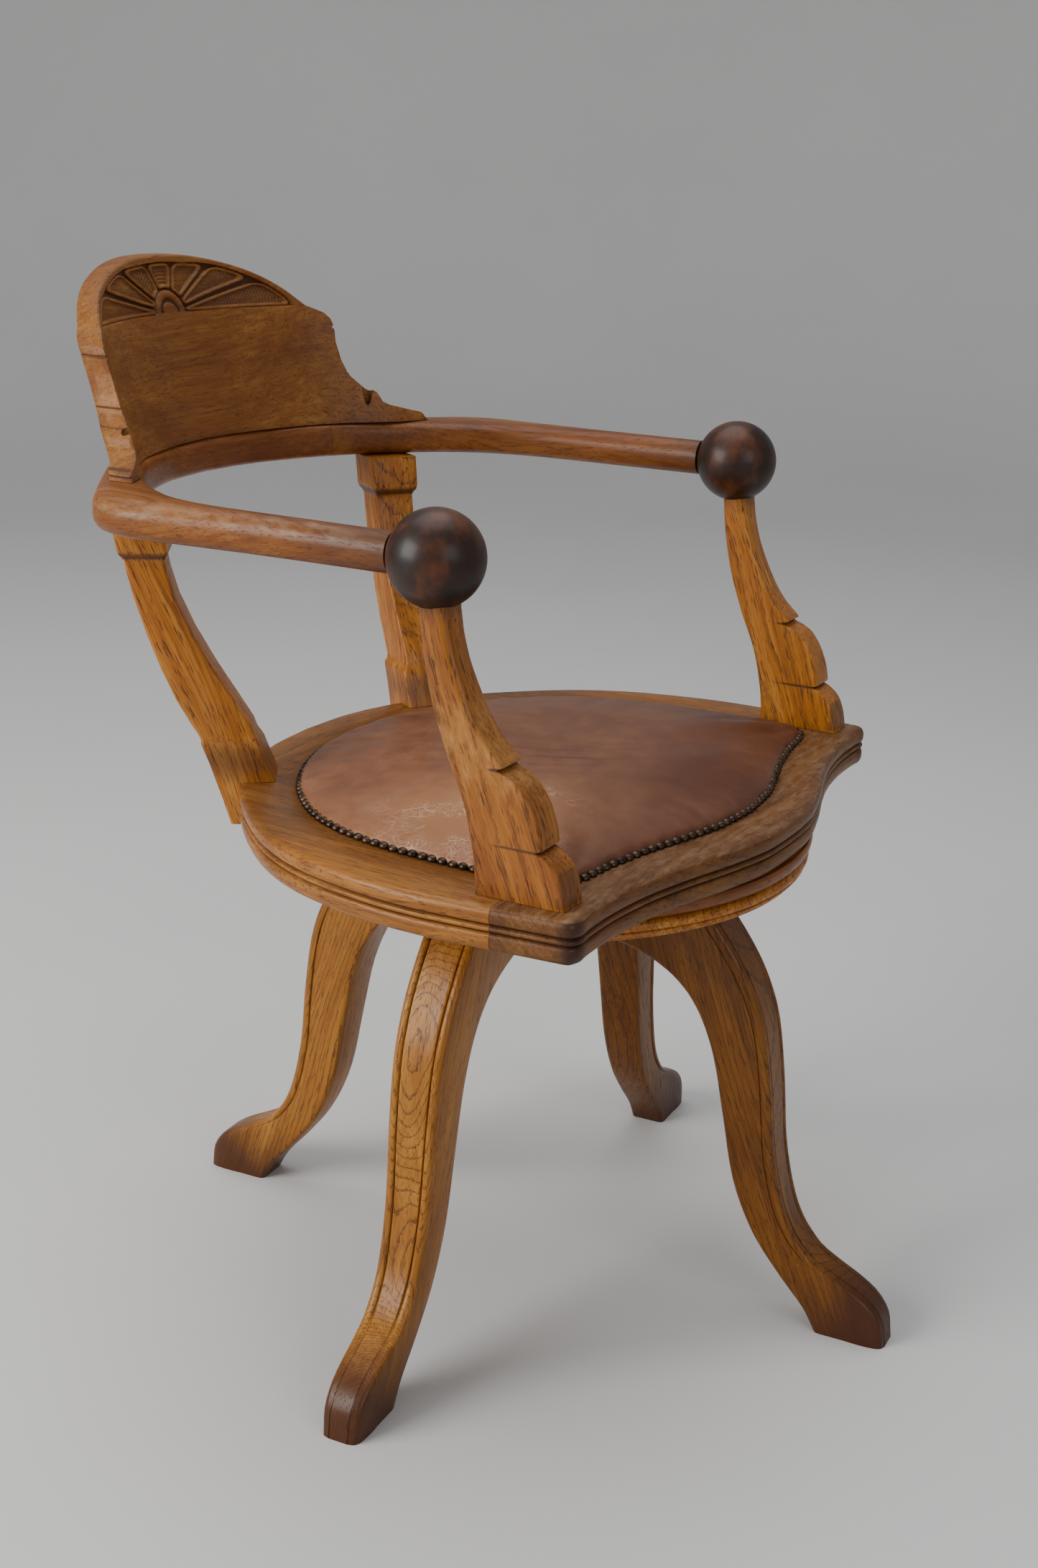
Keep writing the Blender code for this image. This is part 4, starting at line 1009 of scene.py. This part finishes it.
def fan_depth(x, z):
    """How far the carving is sunk below the face at each point, millimetres."""
    border_x, border_z = np.array(smooth_path(FAN_BORDER, 6)).T
    ax = np.abs(x)
    arch = np.interp(ax, border_x, border_z, right=FAN_BASE)
    slope = np.clip(np.interp(ax, border_x, np.gradient(border_z, border_x)), -3.0, 0.0)
    to_arch = (arch - z) / np.hypot(1, slope)
    to_base = z - FAN_BASE
    inside = np.minimum(to_arch, to_base)
    radius = np.hypot(x, to_base)
    angle = np.arctan2(to_base, ax)
    rays = [math.atan2(tip_z - FAN_BASE, tip_x) for tip_x, tip_z in FAN_RAYS]
    rays = [math.pi - rays[0]] + rays + [0.0]
    petal = np.full(x.shape, -9.0)
    for upper, lower in zip(rays, rays[1:]):
        split = 0.55 + 0.013 * radius
        from_upper = radius * np.sin(upper - angle) - split
        from_lower = radius * np.sin(angle - lower) - (split if lower > 0 else 0.4)
        body = rounded_meet(from_upper, from_lower, 2.0)
        ends = rounded_meet(to_arch - 1.0, body, 6.5)
        petal = np.maximum(petal, rounded_meet(radius - FAN_PETAL_START, ends, 3.0))
    ground = FAN_GROUND * np.clip(inside / 1.2, 0, 1)
    ridge = np.sqrt(np.clip(1 - ((petal - 1.5) / 1.6) ** 2, 0, 1))
    field = np.clip((petal - 2.4) / 1.4, 0, 1)
    ripple = 0.4 * np.sin(radius * 2 * math.pi / FAN_FLUTE_PITCH)
    flute = ripple * field * np.clip((petal - 3.0) / 1.2, 0, 1)
    depth = np.where(petal > 0, 3.3 - 2.7 * ridge * (petal < 3.1), ground)
    swelling = 0.5 * np.clip((petal - 4) / 6, 0, 1)
    depth = np.where(petal > 2.4, np.minimum(depth, 2.5) + flute - swelling, depth)
    hub = np.where(radius < 9, 1.6 - 1.2 * np.sqrt(np.clip(1 - (radius / 9.5) ** 2, 0, 1)), 3.0)
    ring = np.sqrt(np.clip(1 - ((radius - FAN_RING) / FAN_RING_HALF) ** 2, 0, 1))
    hub = np.where(np.abs(radius - FAN_RING) < FAN_RING_HALF, 3.0 - 2.5 * ring, hub)
    depth = np.where(radius < FAN_HUB, hub, depth)
    return np.where(inside > 0, np.minimum(depth, ground + 0.2), 0.0)


def panel_faces(inset, columns=420, low_rows=46, high_rows=84):
    """Plan x and height of a grid over the panel's outline, drawn in all round by the inset."""
    side_z, side_x = np.array(PANEL_SIDE).T
    levels = np.unique(np.r_[np.linspace(PANEL_BOTTOM, FAN_BASE, low_rows + 1), side_z])
    arch_x, arch_z = np.array(smooth_path(PANEL_ARCH, 8)).T
    u = np.linspace(-1, 1, columns + 1)
    x_rows, z_rows = [], []
    for z in levels[:-1]:
        x_rows.append(u * (np.interp(z, side_z, side_x) - inset))
        z_rows.append(np.full(u.shape, z))
    top = np.interp(np.abs(u * arch_x[-1]), arch_x, arch_z)
    rise = np.maximum(top - inset - FAN_BASE, 0.0)
    for v in np.linspace(0, 1, high_rows + 1):
        x_rows.append(u * (arch_x[-1] - inset))
        z_rows.append(FAN_BASE + rise * v)
    return np.array(x_rows), np.array(z_rows)


def panel_plan_curves():
    """The panel's inner and outer faces in plan, level across the middle."""
    across = [(-PANEL_PLAN[1][0], PANEL_PLAN[1][1])] + list(PANEL_PLAN)
    half = [place for place in smooth_path(across, 8) if place[0] > -0.001]
    inner = np.array([(-x, y) for x, y in reversed(half[1:])] + half)
    along = np.gradient(inner, axis=0)
    along /= np.linalg.norm(along, axis=1, keepdims=True)
    outer = np.stack([inner[:, 0] - along[:, 1] * PANEL_THICK, inner[:, 1] + along[:, 0] * PANEL_THICK], 1)
    return inner, outer


def on_curve(curve, x, z):
    """How far back a face of the leaning board lies, at a place across it and a height."""
    return np.interp(x, curve[:, 0], curve[:, 1]) + PANEL_LEAN * (z - PANEL_BOTTOM)


def panel_board(inner, outer):
    """The drilled board: a carved inner face, a plain outer face and the eased edge between them."""
    x, z = panel_faces(PANEL_EASE)
    faces_in = np.stack([x, on_curve(inner, x, z) + fan_depth(x, z), z], -1)
    faces_out = np.stack([x, on_curve(outer, x, z), z], -1)
    rows, columns = x.shape
    bm = bmesh.new()

    def grid(points):
        verts = [[bm.verts.new(Vector(points[r, c]) * MM) for c in range(columns)] for r in range(rows)]
        for r in range(rows - 1):
            for c in range(columns - 1):
                bm.faces.new((verts[r][c], verts[r][c + 1], verts[r + 1][c + 1], verts[r + 1][c]))
        return verts
    near = grid(faces_in)
    far = grid(faces_out)
    loop = [(r, 0) for r in range(rows)] + [(rows - 1, c) for c in range(1, columns)]
    loop += [(r, columns - 1) for r in range(rows - 2, -1, -1)]
    strips = []
    for share, ease in PANEL_EDGE:
        ex, ez = panel_faces(ease)
        y = on_curve(inner, ex, ez) * (1 - share) + on_curve(outer, ex, ez) * share
        strips.append([bm.verts.new(Vector((ex[rc], y[rc], ez[rc])) * MM) for rc in loop])
    chain = [[near[r][c] for r, c in loop]] + strips + [[far[r][c] for r, c in loop]]
    for a_row, b_row in zip(chain, chain[1:]):
        for i in range(len(loop) - 1):
            bm.faces.new((a_row[i], b_row[i], b_row[i + 1], a_row[i + 1]))
    for c in range(columns - 1):
        bm.faces.new((near[0][c], near[0][c + 1], far[0][c + 1], far[0][c]))
    for end, c in ((0, 0), (-1, columns - 1)):
        bm.faces.new([near[0][c]] + [s[end] for s in strips] + [far[0][c]])
    bmesh.ops.remove_doubles(bm, verts=bm.verts, dist=0.00003)
    bmesh.ops.dissolve_degenerate(bm, dist=0.00001, edges=bm.edges)
    bmesh.ops.recalc_face_normals(bm, faces=bm.faces)
    return drill_holes(mesh_from(bm, "panel"))


def make_panel():
    """Leaning board, curved in plan, with a carved fan and moulded ends."""
    inner, outer = panel_plan_curves()
    mesh = panel_board(inner, outer)
    narrow = min(half for _, half in PANEL_SIDE[:-4])

    def sunk(px, py, pz):
        """How far a point lies behind the inner face as it was before carving."""
        return py - on_curve(inner, abs(px), pz)

    # Painted shade: darker in the deep parts of the carving, along the steps of the moulded ends and along
    # the foot where the panel meets the bow.
    def wear(px, py, pz):
        deep = sunk(px, py, pz)
        on_fan = pz > FAN_BASE and abs(deep) < 6
        carved = float(fan_depth(np.array(abs(px)), np.array(pz))) if on_fan else 0.0
        line = 0.8 * max(bell(pz, level, 0.9) for level in PANEL_LINES)
        end = line if abs(px) > narrow - 4 or pz < 662 else 0.0
        seam = 0.35 * bell(pz, PANEL_BOTTOM, 5) * (deep < 1)
        return max(0.0, carved - 0.6) / 3.0 * 0.8 + end * (deep > 0.8) + seam

    def rubbed(px, py, pz):
        edge = 0.6 if abs(px) > 146 and 1 < sunk(px, py, pz) < PANEL_THICK - 1 else 0.0
        return edge * (0.4 + 0.6 * bell(pz, 705, 25))
    finish_piece("back_panel_wood", mesh, BROWN, "seat", "oak_brown", ["back_panel"], (1, 0, 0.03),
                 (0.2, 0.1, 0.05), wear, rubbed, sharp=55)


def drill_holes(mesh):
    """Sunk screw holes in the sloping feet of the panel."""
    hx, hy, seat = PANEL_HOLE
    depth = 44
    bm = bmesh.new()
    for side in (1, -1):
        place = Matrix.Translation(Vector((side * hx, hy, seat + depth / 2)) * MM)
        bmesh.ops.create_cone(bm, cap_ends=True, segments=32, radius1=PANEL_HOLE_RADIUS * MM,
                              radius2=PANEL_HOLE_RADIUS * MM, depth=depth * MM, matrix=place)
    tool = add_object("drill", mesh_from(bm, "drill"))
    board = add_object("board", mesh)
    cut = board.modifiers.new("cut", 'BOOLEAN')
    cut.operation = 'DIFFERENCE'
    cut.object = tool
    cut.solver = 'EXACT'
    bpy.context.view_layer.update()
    drilled = bpy.data.meshes.new_from_object(board.evaluated_get(bpy.context.evaluated_depsgraph_get()))
    for obj in (tool, board):
        bpy.data.objects.remove(obj)
    return drilled


# ---- carried-over CAD nodes
def dress_cad_nodes():
    slots = {"hub_block": HONEY, "seat_board": PINE, "thrust_washer": BRASS}
    for name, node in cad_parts.items():
        if not node.hide_render:
            node.data.materials.clear()
            node.data.materials.append(slots.get(name, IRON))


# ---- stage, in metres
LIGHT_TARGET = (0, 0, 0.5)
CAMERA_PLACE = (-1.37535, -0.73013, 0.91586)
CAMERA_RIGHT = (0.485641, -0.873845, 0.023414)
CAMERA_UP = (0.259251, 0.169556, 0.950810)
CAMERA_FORWARD = (0.834831, 0.455682, -0.308888)
CAMERA_LENS = 47.53


def make_stage():
    """Plain pale floor that sweeps up into a wall all round."""
    profile = [(3.4, 0.0), (3.9, 0.03), (4.3, 0.14), (4.65, 0.36), (4.9, 0.72), (5.0, 1.2), (5.05, 3.4)]
    steps = 96
    turns = [2 * math.pi * k / steps for k in range(steps)]
    bm = bmesh.new()
    rows = [[bm.verts.new((r * math.cos(a), r * math.sin(a), z)) for a in turns] for r, z in profile]
    centre = bm.verts.new((0, 0, 0))
    for i in range(steps):
        j = (i + 1) % steps
        bm.faces.new((centre, rows[0][i], rows[0][j]))
        for low, high in zip(rows, rows[1:]):
            bm.faces.new((low[j], low[i], high[i], high[j]))
    bmesh.ops.recalc_face_normals(bm, faces=bm.faces)
    if centre.normal.z < 0:
        bmesh.ops.reverse_faces(bm, faces=bm.faces)
    mesh = mesh_from(bm, "floor")
    mesh.shade_smooth()
    n = Nodes("floor")
    place = n.add("ShaderNodeTexCoord").outputs["Object"]
    colour = n.ramp(n.noise(place, 1.2, 3.0), [(0.3, (0.62, 0.62, 0.615)), (0.7, (0.65, 0.65, 0.645))])
    mesh.materials.append(n.finish(colour, 0.8, specular=0.15))
    floor = add_object("floor", mesh)


def add_area(name, place, size, power, colour=(1, 1, 1)):
    """Soft rectangular light turned towards the middle of the chair."""
    light = bpy.data.lights.new(name, 'AREA')
    light.shape = 'RECTANGLE'
    light.size, light.size_y = size
    light.energy = power
    light.color = colour
    obj = add_object(name, light)
    obj.location = place
    obj.rotation_euler = (Vector(LIGHT_TARGET) - Vector(place)).to_track_quat('-Z', 'Y').to_euler()
    obj.visible_camera = False


def make_light():
    world = bpy.data.worlds.new("studio")
    world.use_nodes = True
    background = world.node_tree.nodes["Background"]
    background.inputs["Color"].default_value = (0.80, 0.82, 0.85, 1)
    background.inputs["Strength"].default_value = 0.35
    bpy.context.scene.world = world
    add_area("window", (-2.4, 1.7, 1.6), (1.9, 1.6), 105, (1.0, 0.98, 0.95))
    add_area("front_fill", (-1.4, -2.6, 1.7), (1.8, 1.4), 22, (0.97, 0.98, 1.0))
    add_area("overhead", (0.3, 0.4, 2.8), (2.2, 2.2), 40)


def make_camera():
    data = bpy.data.cameras.new("camera")
    data.lens = CAMERA_LENS
    data.sensor_fit = 'VERTICAL'
    data.sensor_height = 36.0
    camera = add_object("camera", data)
    turn = Matrix((CAMERA_RIGHT, CAMERA_UP, -Vector(CAMERA_FORWARD))).transposed()
    camera.matrix_world = Matrix.Translation(CAMERA_PLACE) @ turn.to_4x4()
    bpy.context.scene.camera = camera


make_camera()
make_stage()
make_light()
make_legs()
make_disc_and_drum()
make_rim()
make_pad()
make_nails()
make_arm_posts()
make_balls()
make_arms()
make_rear_posts()
make_panel()
dress_cad_nodes()
